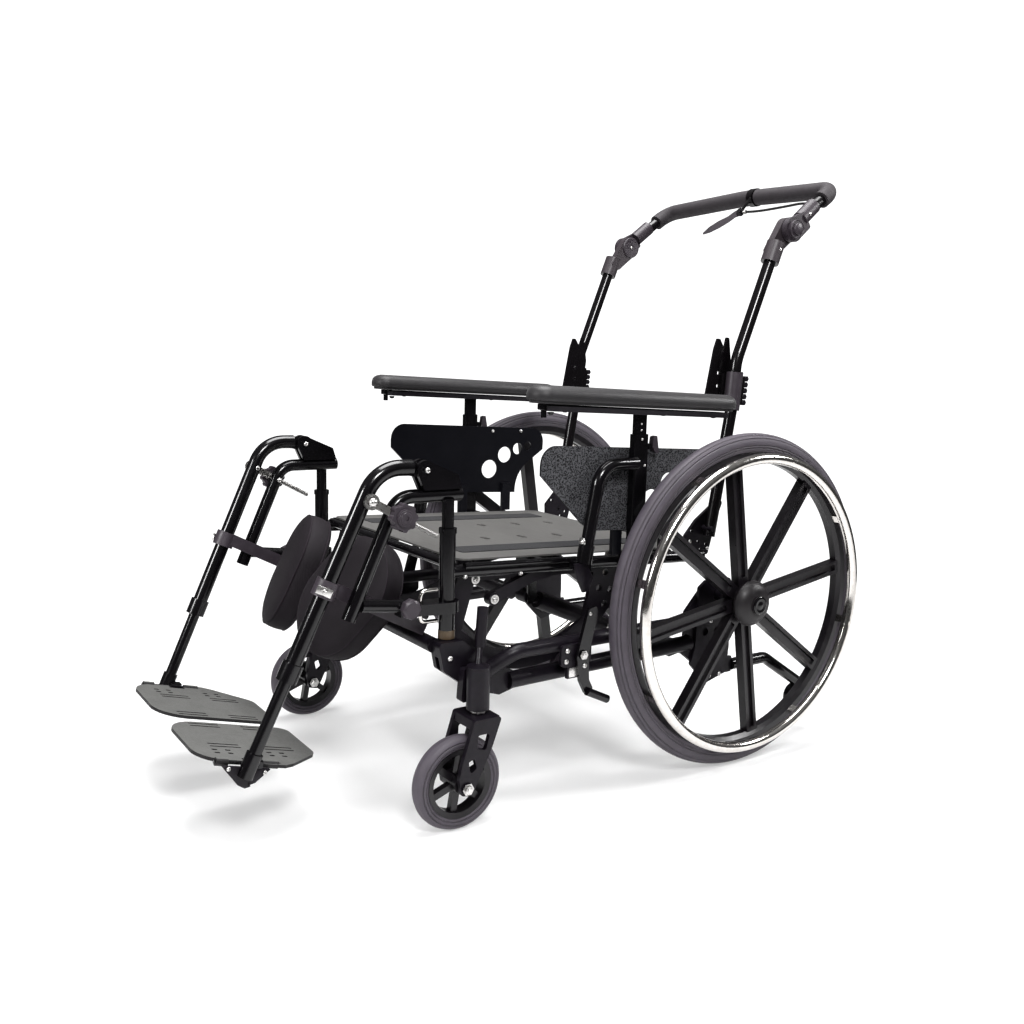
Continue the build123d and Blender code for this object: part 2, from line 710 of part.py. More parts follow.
with BuildPart() as arm_lever:
    side_plate(((-184, 604), (-176, 606), (-170, 574), (-180, 578), (-186, 588)), ARM_X - 5, 10, corner=2)
    cross_holes(((ARM_POST_Y + 19, 588),), ARM_X - 10, 20, 10.1)
save_pair(arm_lever.part, "arm_lever")

# ---------------------------------------------------------------- legrests

LEG_CORNER = (235.0, -686.0, 566.0)
LEG_END = (215.0, -888.0, 120.0)
leg_run = Vector(*LEG_END) - Vector(*LEG_CORNER)
leg_direction = leg_run.normalized()


def leg_point(distance):
    """A point down the leg tube, measured from its upper corner."""
    return tuple(Vector(*LEG_CORNER) + leg_direction * distance)


OUTER_END = 335.0
EXTENSION_START = 215.0
EXTENSION_TUBE = 19.0
BOLT = (-703.5, 519.0)
TRUNNION = (-658.6, 494.8)
ROD_TIP = (-593.6, 459.8)
ADJUSTER_X = 253.0

with BuildPart() as hanger:
    with BuildSketch(Plane.YZ.offset(HANGER_X - 13)):
        with BuildLine():
            Polyline((-606, 575), (-553, 552), (-546, 530), (-612, 530), (-622, 552))
            Line((-622, 552), (-606, 575))
        make_face()
        with Locations((LEG_HINGE_Y, LEG_HINGE_Z)):
            Circle(15)
    extrude(amount=26)
    with Locations((HANGER_X, LEG_HINGE_Y - 20, LEG_HINGE_Z)):
        Box(11, 70, 80, mode=Mode.SUBTRACT)
    bent_tube(
        (
            (HANGER_X, -542, 520.5),
            (HANGER_X, -652, 520.5),
            (HANGER_X - 2, -732, 339),
        ),
        22,
        35,
    )
    rod((HANGER_X - 18, LEG_HINGE_Y, LEG_HINGE_Z), (HANGER_X + 18, LEG_HINGE_Y, LEG_HINGE_Z), 9)
    rod((POST_X, POST_Y, POST_TOP - 45), (POST_X, POST_Y, 515), POST_PIN)
    rod((HANGER_X, -712, 360), (HANGER_X, -640, 351), 20)
    with BuildSketch(Plane.XY.offset(336)):
        with BuildLine():
            Polyline((HANGER_X - 11, -650), (HANGER_X + 11, -650), (POST_X + 19, -572), (POST_X - 19, -572), close=True)
        make_face()
        with Locations((POST_X, POST_Y)):
            Circle(19)
    extrude(amount=18)
    bent_tube(
        ((HANGER_X + 4, -588, 372), (HANGER_X + 4, -612, 372), (HANGER_X + 4, -612, 322), (HANGER_X + 4, -588, 322)),
        5,
        9,
    )
    rod((POST_X, POST_Y, 330), (POST_X, POST_Y, 360), POST_OUTER + 0.8, Mode.SUBTRACT)
    rod((HANGER_X, TRUNNION[0], TRUNNION[1]), (ADJUSTER_X - 5.6, TRUNNION[0], TRUNNION[1]), 12)
save_pair(hanger.part, "hanger")

with BuildPart() as leg_tube:
    bent_tube(((HANGER_X, -629, 565), (HANGER_X, *LEG_CORNER[1:]), leg_point(OUTER_END)), LEG_TUBE, 58)
    side_plate(
        ((-640, 576), (-612, 574), (-598, 566), (-598, 556), (-612, 549), (-640, 554)),
        HANGER_X - 5,
        10,
        corner=3,
    )
    rod(leg_point(OUTER_END - 24), leg_point(OUTER_END + 4), LEG_TUBE + 7)
    rod((HANGER_X, *BOLT), (ADJUSTER_X + 5, *BOLT), 6)
    rod(leg_point(EXTENSION_START - 66), leg_point(OUTER_END + 6), EXTENSION_TUBE + 0.1, Mode.SUBTRACT)
    rod(
        (HANGER_X - 7, LEG_HINGE_Y, LEG_HINGE_Z),
        (HANGER_X + 7, LEG_HINGE_Y, LEG_HINGE_Z),
        9 + 2 * RUNNING_FIT,
        Mode.SUBTRACT,
    )
save_pair(leg_tube.part, "leg_tube")

adjuster_run = Vector(0, BOLT[0] - ROD_TIP[0], BOLT[1] - ROD_TIP[1])
adjuster_direction = adjuster_run.normalized()


def adjuster_point(from_bolt):
    """A point on the adjuster rod, measured back from its eye."""
    return tuple(Vector(ADJUSTER_X, *BOLT) - adjuster_direction * from_bolt)


with BuildPart() as adjuster_rod:
    rod((ADJUSTER_X - 2.5, *BOLT), (ADJUSTER_X + 2.5, *BOLT), 24)
    with BuildSketch(Plane(adjuster_point(8), x_dir=(1, 0, 0), z_dir=-adjuster_direction)) as bar:
        Rectangle(5, 13)
    extrude(bar.sketch, amount=31)
    rod(adjuster_point(37), adjuster_point(adjuster_run.length), 8)
    rod((ADJUSTER_X - 3, *BOLT), (ADJUSTER_X + 3, *BOLT), 15, Mode.SUBTRACT)
save_pair(adjuster_rod.part, "adjuster_rod")

with BuildPart() as adjuster_block:
    with BuildSketch(
        Plane(
            tuple(Vector(ADJUSTER_X, *TRUNNION) - adjuster_direction * 9),
            x_dir=(1, 0, 0),
            z_dir=adjuster_direction,
        )
    ) as block:
        RectangleRounded(11, 18, 2)
    extrude(block.sketch, amount=18)
    rod(
        tuple(Vector(ADJUSTER_X, *TRUNNION) - adjuster_direction * 12),
        tuple(Vector(ADJUSTER_X, *TRUNNION) + adjuster_direction * 12),
        8 + 2 * RUNNING_FIT,
        Mode.SUBTRACT,
    )
save_pair(adjuster_block.part, "adjuster_block")

KNOB_X = ADJUSTER_X + 5.8
with BuildPart() as adjuster_knob:
    with BuildSketch(Plane.YZ.offset(KNOB_X)) as star:
        with Locations(TRUNNION):
            Circle(19)
            with PolarLocations(17, 8):
                Circle(5)
    extrude(amount=15)
    rod((KNOB_X + 14, *TRUNNION), (KNOB_X + 18, *TRUNNION), 28)
save_pair(adjuster_knob.part, "adjuster_knob")

CALF_PAD = Vector(112, -676, 342)
pad_normal = Vector(sin(radians(15)), -cos(radians(15)), 0.45).normalized()
PAD_BACK = 26.0
STRAP_SLOPE = 0.52
STRAP_REAR_Y = -600.0
strap_end = CALF_PAD + pad_normal * ((STRAP_REAR_Y - CALF_PAD.Y) / pad_normal.Y)
pad_pivot = CALF_PAD - pad_normal * PAD_BACK

with BuildPart() as calf_bracket:
    rod(leg_point(180), leg_point(206), LEG_TUBE + 11)
    with BuildSketch(Plane((0, -760, 379), x_dir=(1, 0, 0), z_dir=(0, STRAP_SLOPE, 1))) as strap:
        with BuildLine():
            Polyline((211, -6), (216, -6), (216, 185), (78, 185), (78, 180), (211, 180), close=True)
        make_face()
    extrude(strap.sketch, amount=22)
    rod(tuple(strap_end - pad_normal * 8), tuple(pad_pivot - pad_normal * 0.5), 16)
    rod(tuple(pad_pivot - pad_normal * 5), tuple(pad_pivot - pad_normal * 0.5), 54)
    rod(leg_point(150), leg_point(230), LEG_TUBE + 0.1, Mode.SUBTRACT)
save_pair(calf_bracket.part, "calf_bracket")

for label, side, turn in (("left", 1, -32.0), ("right", -1, 0.0)):
    with BuildPart() as calf_pad:
        pad_plane = Plane(tuple(CALF_PAD), x_dir=(cos(radians(15)), sin(radians(15)), 0), z_dir=pad_normal)
        for height, inset in ((-PAD_BACK, 12), (6 - PAD_BACK, 2), (2, 0), (18, 8), (27, 26)):
            with BuildSketch(pad_plane.offset(height)):
                RectangleRounded(168 - 2 * inset, 214 - 2 * inset, 82 - inset, rotation=turn)
        loft()
    pad = calf_pad.part if side > 0 else mirror(calf_pad.part, about=Plane.YZ)
    save(pad, f"calf_pad_{label}")


def foot_z(y):
    """The height of the middle of the footplate at a depth."""
    return 143.8 - 0.264 * (y + 912)


foot_normal = (0, sin(radians(FOOT_SLOPE)), cos(radians(FOOT_SLOPE)))
foot_plane = Plane((0, -850, foot_z(-850)), x_dir=(1, 0, 0), z_dir=foot_normal)
FOOT_THICKNESS = 5.0


def foot_local(x, y):
    """A point in the footplate's own plane, from its place seen from above."""
    return (x, (y + 850) / cos(radians(FOOT_SLOPE)))


with BuildPart() as footplate:
    with BuildSketch(foot_plane.offset(-FOOT_THICKNESS / 2)) as plate_outline:
        with BuildLine():
            Polyline(
                foot_local(15, -748),
                foot_local(142, -748),
                foot_local(198, -806),
                foot_local(208, -822),
                foot_local(208, -850),
                foot_local(206, -857),
                foot_local(186, -857),
                foot_local(186, -883),
                foot_local(199, -883),
                foot_local(196, -948),
                foot_local(15, -948),
                close=True,
            )
        make_face()
        for corner_x, corner_y, corner in ((15, -748, 20), (15, -948, 50), (196, -948, 46), (142, -748, 30)):
            place = Vector(*foot_local(corner_x, corner_y))
            fillet(plate_outline.vertices().sort_by_distance(place)[0], corner)
        for slot_y in (-890, -805):
            for slot_x in (25, 37, 124, 136):
                with Locations(foot_local(slot_x, slot_y)):
                    SlotOverall(50, 3.5, rotation=90, mode=Mode.SUBTRACT)
        for hole_y in (-912, -892, -828, -808):
            for hole_x in (152, 166):
                with Locations(foot_local(hole_x, hole_y)):
                    SlotOverall(9, 5, rotation=90, mode=Mode.SUBTRACT)
    extrude(amount=FOOT_THICKNESS)
    for knuckle_start, knuckle_end in ((-856, -832), (-926, -908)):
        rod(
            (FOOT_HINGE_X, knuckle_start, foot_z(knuckle_start)),
            (FOOT_HINGE_X, knuckle_end, foot_z(knuckle_end)),
            12,
        )
    rod(
        (FOOT_HINGE_X, -858, foot_z(-858)),
        (FOOT_HINGE_X, -882, foot_z(-882)),
        13,
        Mode.SUBTRACT,
    )
    rod(
        (FOOT_HINGE_X, -930, foot_z(-930)),
        (FOOT_HINGE_X, -828, foot_z(-828)),
        6 + 2 * RUNNING_FIT,
        Mode.SUBTRACT,
    )
save_pair(footplate.part, "footplate")

with BuildPart() as extension:
    rod(leg_point(EXTENSION_START), LEG_END, EXTENSION_TUBE)
    rod(leg_point(452), leg_point(489), EXTENSION_TUBE + 6)
    with BuildSketch(foot_plane.offset(-7)) as arm:
        with Locations(foot_local(207, -870)):
            Rectangle(14, 21)
    extrude(arm.sketch, amount=14)
    rod((FOOT_HINGE_X, -860.5, foot_z(-860.5)), (FOOT_HINGE_X, -879.5, foot_z(-879.5)), 12)
    rod((FOOT_HINGE_X, -928, foot_z(-928)), (FOOT_HINGE_X, -830, foot_z(-830)), 6)
save_pair(extension.part, "leg_extension")

# ---------------------------------------------------------------- back

with BuildPart() as back_brackets:
    side_plate(
        ((-44, 372), (-46, 412), (-20, 440), (36, 478), (46, 470), (30, 430), (14, 372)),
        CANE_X - 19,
        6,
        corner=6,
    )
    cross_holes(((-12, 399), (-5, 383), (8, 392), (-30, 420)), CANE_X - 20, 8, 7)
    rod((CANE_X - 17, BACK_PIVOT_Y, BACK_PIVOT_Z), (CANE_X + 14, BACK_PIVOT_Y, BACK_PIVOT_Z), 10)
    mirror(about=Plane.YZ)
save(back_brackets.part, "back_brackets")

with BuildPart() as back_canes:
    bent_tube(
        ((CANE_X, 2, 410), (CANE_X, 43, 650), (CANE_X, 48, 735), (CANE_X, 130, 940)),
        CANE_TUBE,
        90,
    )
    rod((CANE_X, 121, 918), (CANE_X, 136, 955.5), 34)
    side_plate(((118, 940), (140, 931), (190, 970), (152, 995)), CANE_X - 16, 15, corner=4)
    rod((CANE_X - 16, HANDLE_PIVOT_Y, HANDLE_PIVOT_Z), (CANE_X - 1, HANDLE_PIVOT_Y, HANDLE_PIVOT_Z), 46)
    rod((CANE_X, 41.5, 645), (CANE_X, 47, 716), 30)
    rod((CANE_X, 58, 655), (CANE_X, 64, 705), 16)
    side_plate(
        (
            (8, 662),
            (-9, 668),
            (8, 757),
            (15, 776),
            (21, 775),
            (33, 757),
            (38, 779),
            (44, 777),
            (52, 728),
            (44, 664),
        ),
        CANE_X - 21,
        5,
        corner=2,
    )
    cross_holes(((21, 713), (20.5, 689), (17, 669)), CANE_X - 22, 8, 8)
    with Locations((CANE_X - 15, 40, 690)):
        Box(8, 30, 44)
    rod(
        (CANE_X - 12, BACK_PIVOT_Y, BACK_PIVOT_Z),
        (CANE_X + 12, BACK_PIVOT_Y, BACK_PIVOT_Z),
        10 + 2 * RUNNING_FIT,
        Mode.SUBTRACT,
    )
    rod(
        (CANE_X - 20, HANDLE_PIVOT_Y, HANDLE_PIVOT_Z),
        (CANE_X + 2, HANDLE_PIVOT_Y, HANDLE_PIVOT_Z),
        12 + 2 * RUNNING_FIT,
        Mode.SUBTRACT,
    )
    mirror(about=Plane.YZ)
save(back_canes.part, "back_canes")

BAR_CORNER = (235.0, 290.0, 1068.0)
BAR_MIDDLE = (0.0, 299.0, 1078.0)
LEVER_PIVOT = Vector(13, 270, 1046)
LEVER_AXIS = Vector(-1, 1, 0).normalized()
RING_MIDDLE = Vector(27, 284, 1074)
with BuildPart() as handlebar:
    rod((CANE_X + 0.5, HANDLE_PIVOT_Y, HANDLE_PIVOT_Z), (CANE_X + 12, HANDLE_PIVOT_Y, HANDLE_PIVOT_Z), 46)
    rod((CANE_X - 15, HANDLE_PIVOT_Y, HANDLE_PIVOT_Z), (CANE_X + 17, HANDLE_PIVOT_Y, HANDLE_PIVOT_Z), 12)
    rod((CANE_X + 11, HANDLE_PIVOT_Y, HANDLE_PIVOT_Z), (CANE_X + 18, HANDLE_PIVOT_Y, HANDLE_PIVOT_Z), 34)
    side_plate(((190, 968), (216, 990), (196, 1017), (160, 1000)), CANE_X + 0.5, 11, corner=4)
    rod((CANE_X, 197, 1003), (BAR_CORNER[0] + 1, 234, 1032), 30)
    mirror(about=Plane.YZ)
    bent_tube(
        (
            (BAR_CORNER[0], 212, 1014),
            BAR_CORNER,
            BAR_MIDDLE,
            (-BAR_CORNER[0], *BAR_CORNER[1:]),
            (-BAR_CORNER[0], 212, 1014),
        ),
        22,
        (30, 400, 30),
    )
    rod((17, 298.3, 1077.2), (33, 297.7, 1076.7), 37)
    for offset in (-7, 7):
        shift = LEVER_AXIS * offset
        rod(tuple(LEVER_PIVOT + shift), tuple(RING_MIDDLE + shift), 5)
    for inner, outer in ((-9, -4.4), (4.4, 9)):
        rod(tuple(LEVER_PIVOT + LEVER_AXIS * inner), tuple(LEVER_PIVOT + LEVER_AXIS * outer), 15)
    rod(tuple(LEVER_PIVOT - LEVER_AXIS * 8), tuple(LEVER_PIVOT + LEVER_AXIS * 8), 6)
    rod((20, 264.2, 1047.5), (31.3, 262.2, 1044), 6)
save(handlebar.part, "handlebar")

GRIP_START = (257.1, 1045.2)
with BuildPart() as handle_grip:
    grip_route = (
        (BAR_CORNER[0], *GRIP_START),
        BAR_CORNER,
        BAR_MIDDLE,
        (-BAR_CORNER[0], *BAR_CORNER[1:]),
        (-BAR_CORNER[0], *GRIP_START),
    )
    bent_tube(grip_route, GRIP_DIAMETER, (30, 400, 30))
    bent_tube(grip_route, 22.1, (30, 400, 30), Mode.SUBTRACT)
    with Locations((25, 298, 1077)):
        Box(19, 50, 50, mode=Mode.SUBTRACT)
save(handle_grip.part, "handle_grip")

LEVER_DIRECTION = Vector(-53, -53, -44).normalized()
with BuildPart() as tilt_lever:
    rod(tuple(LEVER_PIVOT - LEVER_AXIS * 4), tuple(LEVER_PIVOT + LEVER_AXIS * 4), 13)
    for distance, width, thickness in ((5, 7.6, 7.5), (14, 8, 7.5), (42, 16, 7), (85, 18, 6.5)):
        with BuildSketch(
            Plane(tuple(LEVER_PIVOT + LEVER_DIRECTION * distance), x_dir=LEVER_AXIS, z_dir=LEVER_DIRECTION)
        ):
            Rectangle(width, thickness)
    loft(ruled=True)
    rod(
        tuple(LEVER_PIVOT - LEVER_AXIS * 6),
        tuple(LEVER_PIVOT + LEVER_AXIS * 6),
        6 + 2 * RUNNING_FIT,
        Mode.SUBTRACT,
    )
save(tilt_lever.part, "tilt_lever")

with BuildPart() as tilt_cable:
    bent_tube(
        ((32, 262.1, 1043.8), (63.6, 256.5, 1034), (140, 262, 1036), (196, 262, 1044), (221, 252, 1036.5)),
        5,
        40,
    )
save(tilt_cable.part, "tilt_cable")
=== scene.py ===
from math import cos, pi, radians, sin

import bmesh
import bpy
from mathutils import Matrix, Vector


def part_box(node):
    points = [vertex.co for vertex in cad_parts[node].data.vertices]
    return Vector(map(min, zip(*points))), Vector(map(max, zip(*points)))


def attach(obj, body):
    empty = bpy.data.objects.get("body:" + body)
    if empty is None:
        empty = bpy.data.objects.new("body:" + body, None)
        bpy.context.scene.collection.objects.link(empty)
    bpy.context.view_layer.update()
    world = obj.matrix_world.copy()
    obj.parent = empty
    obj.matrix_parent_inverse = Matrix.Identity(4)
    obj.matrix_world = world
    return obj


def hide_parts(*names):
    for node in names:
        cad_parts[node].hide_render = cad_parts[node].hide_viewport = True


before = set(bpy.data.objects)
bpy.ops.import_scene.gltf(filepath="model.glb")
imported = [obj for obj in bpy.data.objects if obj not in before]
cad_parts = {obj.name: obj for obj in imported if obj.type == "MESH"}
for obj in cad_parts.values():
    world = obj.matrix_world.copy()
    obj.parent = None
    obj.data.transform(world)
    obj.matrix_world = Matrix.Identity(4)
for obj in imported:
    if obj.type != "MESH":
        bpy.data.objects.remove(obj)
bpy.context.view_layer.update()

# ---------------------------------------------------------------- coated frame
# The frame is welded steel and aluminium tube with a cast bow on each side. It is powder
# coated in gloss black, which lies a little uneven, like the skin of an orange.

WHEEL_MIDDLE = (Vector(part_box("rear_tyre_left")[0]) + Vector(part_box("rear_tyre_left")[1])) / 2
AXLE_SETBACK = WHEEL_MIDDLE.y - 0.0035


def at(x, y, z):
    """A place on the chair, from millimetres measured from the floor under the rear axle."""
    return Vector((x / 1000, y / 1000 + AXLE_SETBACK, z / 1000))


class Shade:
    """One socket of a material's nodes. A sum written on it adds its Math nodes."""

    def __init__(self, tree, socket):
        self.tree = tree
        self.socket = socket

    def node(self, kind, settings=None, sockets=None, outlet=0):
        """Adds a node: its settings come first, then its sockets' values or links."""
        added = self.tree.nodes.new(kind)
        for name, value in (settings or {}).items():
            setattr(added, name, value)
        for name, value in (sockets or {}).items():
            if isinstance(value, Shade):
                self.tree.links.new(value.socket, added.inputs[name])
            else:
                added.inputs[name].default_value = value
        return Shade(self.tree, added.outputs[outlet])

    def maths(self, operation, first, second=0.0):
        """Adds one Math node, on one or two values or sockets."""
        return self.node("ShaderNodeMath", {"operation": operation}, {0: first, 1: second})

    def __add__(self, other):
        return self.maths("ADD", self, other)

    def __sub__(self, other):
        return self.maths("SUBTRACT", self, other)

    def __rsub__(self, other):
        return self.maths("SUBTRACT", other, self)

    def __mul__(self, other):
        return self.maths("MULTIPLY", self, other)

    def __truediv__(self, other):
        return self.maths("DIVIDE", self, other)

    def __pow__(self, other):
        return self.maths("POWER", self, other)

    def __gt__(self, other):
        return self.maths("GREATER_THAN", self, other)

    __radd__ = __add__
    __rmul__ = __mul__


def new_finish(name, colour, roughness, **fixed):
    """A new material with what is the same all over it, and its place on the object."""
    material = bpy.data.materials.new(name)
    material.use_nodes = True
    tree = material.node_tree
    shader = tree.nodes["Principled BSDF"]
    shader.inputs["Base Color"].default_value = (*colour, 1)
    shader.inputs["Roughness"].default_value = roughness
    for socket, value in fixed.items():
        shader.inputs[socket.replace("_", " ")].default_value = value
    coordinates = tree.nodes.new("ShaderNodeTexCoord")
    return material, Shade(tree, coordinates.outputs["Object"])


def lay(material, **shades):
    """Leads what changes over the surface into the material's shader."""
    shader = material.node_tree.nodes["Principled BSDF"]
    for socket, shade in shades.items():
        material.node_tree.links.new(shade.socket, shader.inputs[socket.replace("_", " ")])


def grain(place, scale, detail=2.0):
    """Even noise over the surface, from 0 to 1, with this many waves in a metre."""
    return place.node("ShaderNodeTexNoise", None, {"Vector": place, "Scale": scale, "Detail": detail})


def tint(amount, first, second):
    """A colour between two, by an amount from 0 to 1."""
    colours = {0: amount, 6: (*first, 1), 7: (*second, 1)}
    return amount.node("ShaderNodeMix", {"data_type": "RGBA"}, colours, 2)


def relief(height, depth, strength=1.0):
    """The lean of a surface that rises by this depth, in metres."""
    return height.node("ShaderNodeBump", None, {"Height": height, "Distance": depth, "Strength": strength})


def dress(material, *nodes):
    """Gives pieces of the fixed frame their finish."""
    for node in nodes:
        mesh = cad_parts[node].data
        mesh.materials.clear()
        mesh.materials.append(material)


def both(name):
    """The names of a piece's left and right copies."""
    return f"{name}_left", f"{name}_right"


gloss_black, place = new_finish("gloss_black_coat", (0.004, 0.003, 0.004), 0.2)
lay(
    gloss_black,
    Base_Color=tint(grain(place, 35), (0.002, 0.002, 0.002), (0.006, 0.005, 0.007)),
    Roughness=grain(place, 18, 4) * 0.14 + 0.11,
    Normal=relief(grain(place, 700), 0.00012, 0.2),
)
dress(gloss_black, "seat_frame", "arm_frames")
dress(gloss_black, *both("hanger"), *both("leg_tube"), *both("leg_extension"), *both("arm_post"))
dress(gloss_black, *both("anti_tipper"), *both("wheel_lock_lever"))

cast_black, place = new_finish("cast_black_coat", (0.006, 0.005, 0.007), 0.35, Specular_IOR_Level=0.3)
lay(
    cast_black,
    Base_Color=tint(grain(place, 60, 4), (0.004, 0.003, 0.005), (0.012, 0.009, 0.014)),
    Roughness=grain(place, 90, 4) * 0.2 + 0.28,
    Normal=relief(grain(place, 380, 3), 0.0003, 0.5),
)
dress(cast_black, "base_frame", "axle_plates", "rockers", "wheel_lock_mounts", "back_brackets")
dress(cast_black, "tilt_cylinder", *both("caster_fork"))

# ---------------------------------------------------------------- bolts and washers
# Zinc plated button head screws hold the frame's clamps, plates and brackets. They are
# turned, with a round dome and a socket for the key.

HANDS = ((1, "left"), (-1, "right"))
HEAD = ((0, 0.25), (0.38, 0.25), (0.42, 0.62), (0.7, 0.55), (0.92, 0.32), (1, 0), (1, -0.3), (0, -0.3))
WASHER = ((0, 0.12), (1.55, 0.12), (1.6, 0.05), (1.6, -0.2), (0, -0.2))

plated_steel, place = new_finish("zinc_plated_steel", (0.62, 0.61, 0.60), 0.3, Metallic=1.0)
lay(
    plated_steel,
    Base_Color=tint(grain(place, 260, 3), (0.50, 0.49, 0.48), (0.72, 0.71, 0.70)),
    Roughness=grain(place, 420, 3) * 0.3 + 0.15,
)


def turned(form, profile, place, axis, size=1.0, steps=28):
    """Adds a turned shape: a profile of (radius, height) in millimetres, spun about an axis."""
    before = set(form.verts)
    corners = [form.verts.new((radius * size / 1000, 0, height * size / 1000)) for radius, height in profile]
    edges = [form.edges.new(pair) for pair in zip(corners, corners[1:])]
    bmesh.ops.spin(
        form, geom=corners + edges, cent=(0, 0, 0), axis=(0, 0, 1), dvec=(0, 0, 0),
        angle=2 * pi, steps=steps, use_merge=True,
    )
    stand = Matrix.Translation(place) @ Vector(axis).to_track_quat("Z", "Y").to_matrix().to_4x4()
    bmesh.ops.transform(form, matrix=stand, verts=[vertex for vertex in form.verts if vertex not in before])


def fitted(name, form, material, body, crease=40):
    """Makes a form a finished piece of the chair, which moves with a body."""
    bmesh.ops.remove_doubles(form, verts=form.verts, dist=2e-6)
    bmesh.ops.recalc_face_normals(form, faces=form.faces)
    mesh = bpy.data.meshes.new(name)
    form.to_mesh(mesh)
    form.free()
    mesh.materials.append(material)
    mesh.shade_smooth()
    mesh.set_sharp_from_angle(angle=radians(crease))
    piece = bpy.data.objects.new(name, mesh)
    bpy.context.collection.objects.link(piece)
    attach(piece, body)
    return piece


def turned_piece(name, profile, place, axis, material, body, steps=28, crease=40):
    """Makes one turned shape a piece of its own."""
    form = bmesh.new()
    turned(form, profile, place, axis, steps=steps)
    fitted(name, form, material, body, crease)


def screws(name, body, places, axis, size, washer=False):
    """A set of screws that point one way on one body."""
    form = bmesh.new()
    for spot in places:
        turned(form, HEAD, at(*spot), axis, size)
        if washer:
            turned(form, WASHER, at(*spot), axis, size)
    fitted(name, form, plated_steel, body)


for side, hand in HANDS:
    screws(
        f"base_screws_{hand}", "base",
        [(side * 268.2, -575, 266)] + [(side * 270.3, y, z) for y, z in ((-11, 149), (16, 149), (-14, 256))],
        (side, 0, 0), 4.6,
    )
    screws(
        f"bracket_screws_{hand}", "seat",
        [(side * 225.2, y, z) for y, z in ((-34, 400), (30, 452), (5, 425), (12, 384))], (side, 0, 0), 4,
    )
    screws(
        f"rocker_screws_{hand}", "seat",
        [(side * 226.2, -505, 377), (side * 226.2, -290, 376), (side * 238.2, -475, 343)],
        (side, 0, 0), 5, washer=True,
    )
    screws(
        f"rail_screws_{hand}", "seat",
        [(side * 248.5, y, z) for y, z in ((-538, 389), (-432, 384))], (side, 0, -0.4), 4,
    )

# ---------------------------------------------------------------- rear wheels
# Each wheel is moulded in one piece of glass filled nylon, with eight ribbed spokes. Its
# solid tyre is grey rubber with fine rings, and the push ring is polished stainless tube.

wheel_nylon, place = new_finish("wheel_nylon", (0.008, 0.007, 0.009), 0.32)
lay(
    wheel_nylon,
    Base_Color=tint(grain(place, 25, 3), (0.005, 0.004, 0.005), (0.013, 0.011, 0.014)),
    Roughness=grain(place, 60, 3) * 0.2 + 0.22,
    Normal=relief(grain(place, 900), 0.0001, 0.3),
)
dress(wheel_nylon, *both("rear_wheel"), *both("caster_wheel"))

X, Y, Z = range(3)


def measure(place, axis):
    """How far a point lies along the X, Y or Z axis, in metres."""
    return place.node("ShaderNodeSeparateXYZ", None, {0: place}, axis)


def from_axle(place, middle):
    """How far a point is from a wheel's axle, in metres."""
    back = measure(place, Y) - middle.y
    up = measure(place, Z) - middle.z
    return (back * back + up * up) ** 0.5


def line_at(distance, radius, half_width):
    """1 on a line at this distance, falling to 0 on both sides of it."""
    offset = distance.maths("ABSOLUTE", distance - radius)
    return distance.maths("MAXIMUM", 1 - offset / half_width, 0.0)


RING_GROOVE = 0.0014


def rubber(name, middle, rings):
    """Grey tyre rubber with fine grooved rings round its wheel's axle, by their radius in metres, with
    painted shade in the grooves.
    """
    material, place = new_finish(name, (0.075, 0.068, 0.082), 0.6)
    distance = from_axle(place, middle)
    first, *others = [line_at(distance, ring, RING_GROOVE) for ring in rings]
    grooves_and_shade = sum(others, first)
    dust = grain(place, 45, 5)
    lay(
        material,
        # The rings' grooves are also painted darker in colour, as painted shade in the grooves.
        Base_Color=tint(dust - grooves_and_shade * 0.9, (0.050, 0.043, 0.053), (0.088, 0.077, 0.094)),
        Roughness=dust * 0.25 + 0.45,
        Normal=relief(grain(place, 1200) * 0.15 - grooves_and_shade, RING_GROOVE, 1.0),
    )
    return material


tyre_grey = rubber("grey_tyre_rubber", WHEEL_MIDDLE, (0.279, 0.2835, 0.296, 0.3015))
dress(tyre_grey, *both("rear_tyre"))

stainless, place = new_finish("polished_stainless", (0.80, 0.79, 0.78), 0.1, Metallic=1.0)
polish = grain(place, 140, 4)
lay(
    stainless,
    Base_Color=tint(polish, (0.56, 0.53, 0.50), (0.78, 0.76, 0.74)),
    Roughness=polish * 0.14 + 0.06,
)
dress(stainless, *both("handrim"))

hub_plastic, place = new_finish("hub_plastic", (0.055, 0.052, 0.058), 0.42)
lay(
    hub_plastic,
    Base_Color=tint(grain(place, 50, 3), (0.004, 0.003, 0.004), (0.012, 0.009, 0.011)),
    Roughness=grain(place, 120, 3) * 0.2 + 0.36,
    Normal=relief(grain(place, 1500), 0.0001, 0.4),
)
dress(hub_plastic, *both("hub_cap"))

BUTTON = ((0, 2.6), (4, 2.5), (6, 1.6), (9, 1.5), (12, 2.4), (14.5, 2.2), (16, 1), (16, -1.5), (0, -1.5))
for side, hand in HANDS:
    turned_piece(
        f"hub_button_{hand}", BUTTON, at(side * 372.1, 3.5, 305), (side, 0, 0),
        gloss_black, f"wheel_{hand}", steps=48,
    )

# ---------------------------------------------------------------- casters
# A caster swivels on a black coated fork under the frame's barrel. Its wheel is moulded with
# six spokes inside a solid grey tyre, and a bright nut closes each end of the axle.

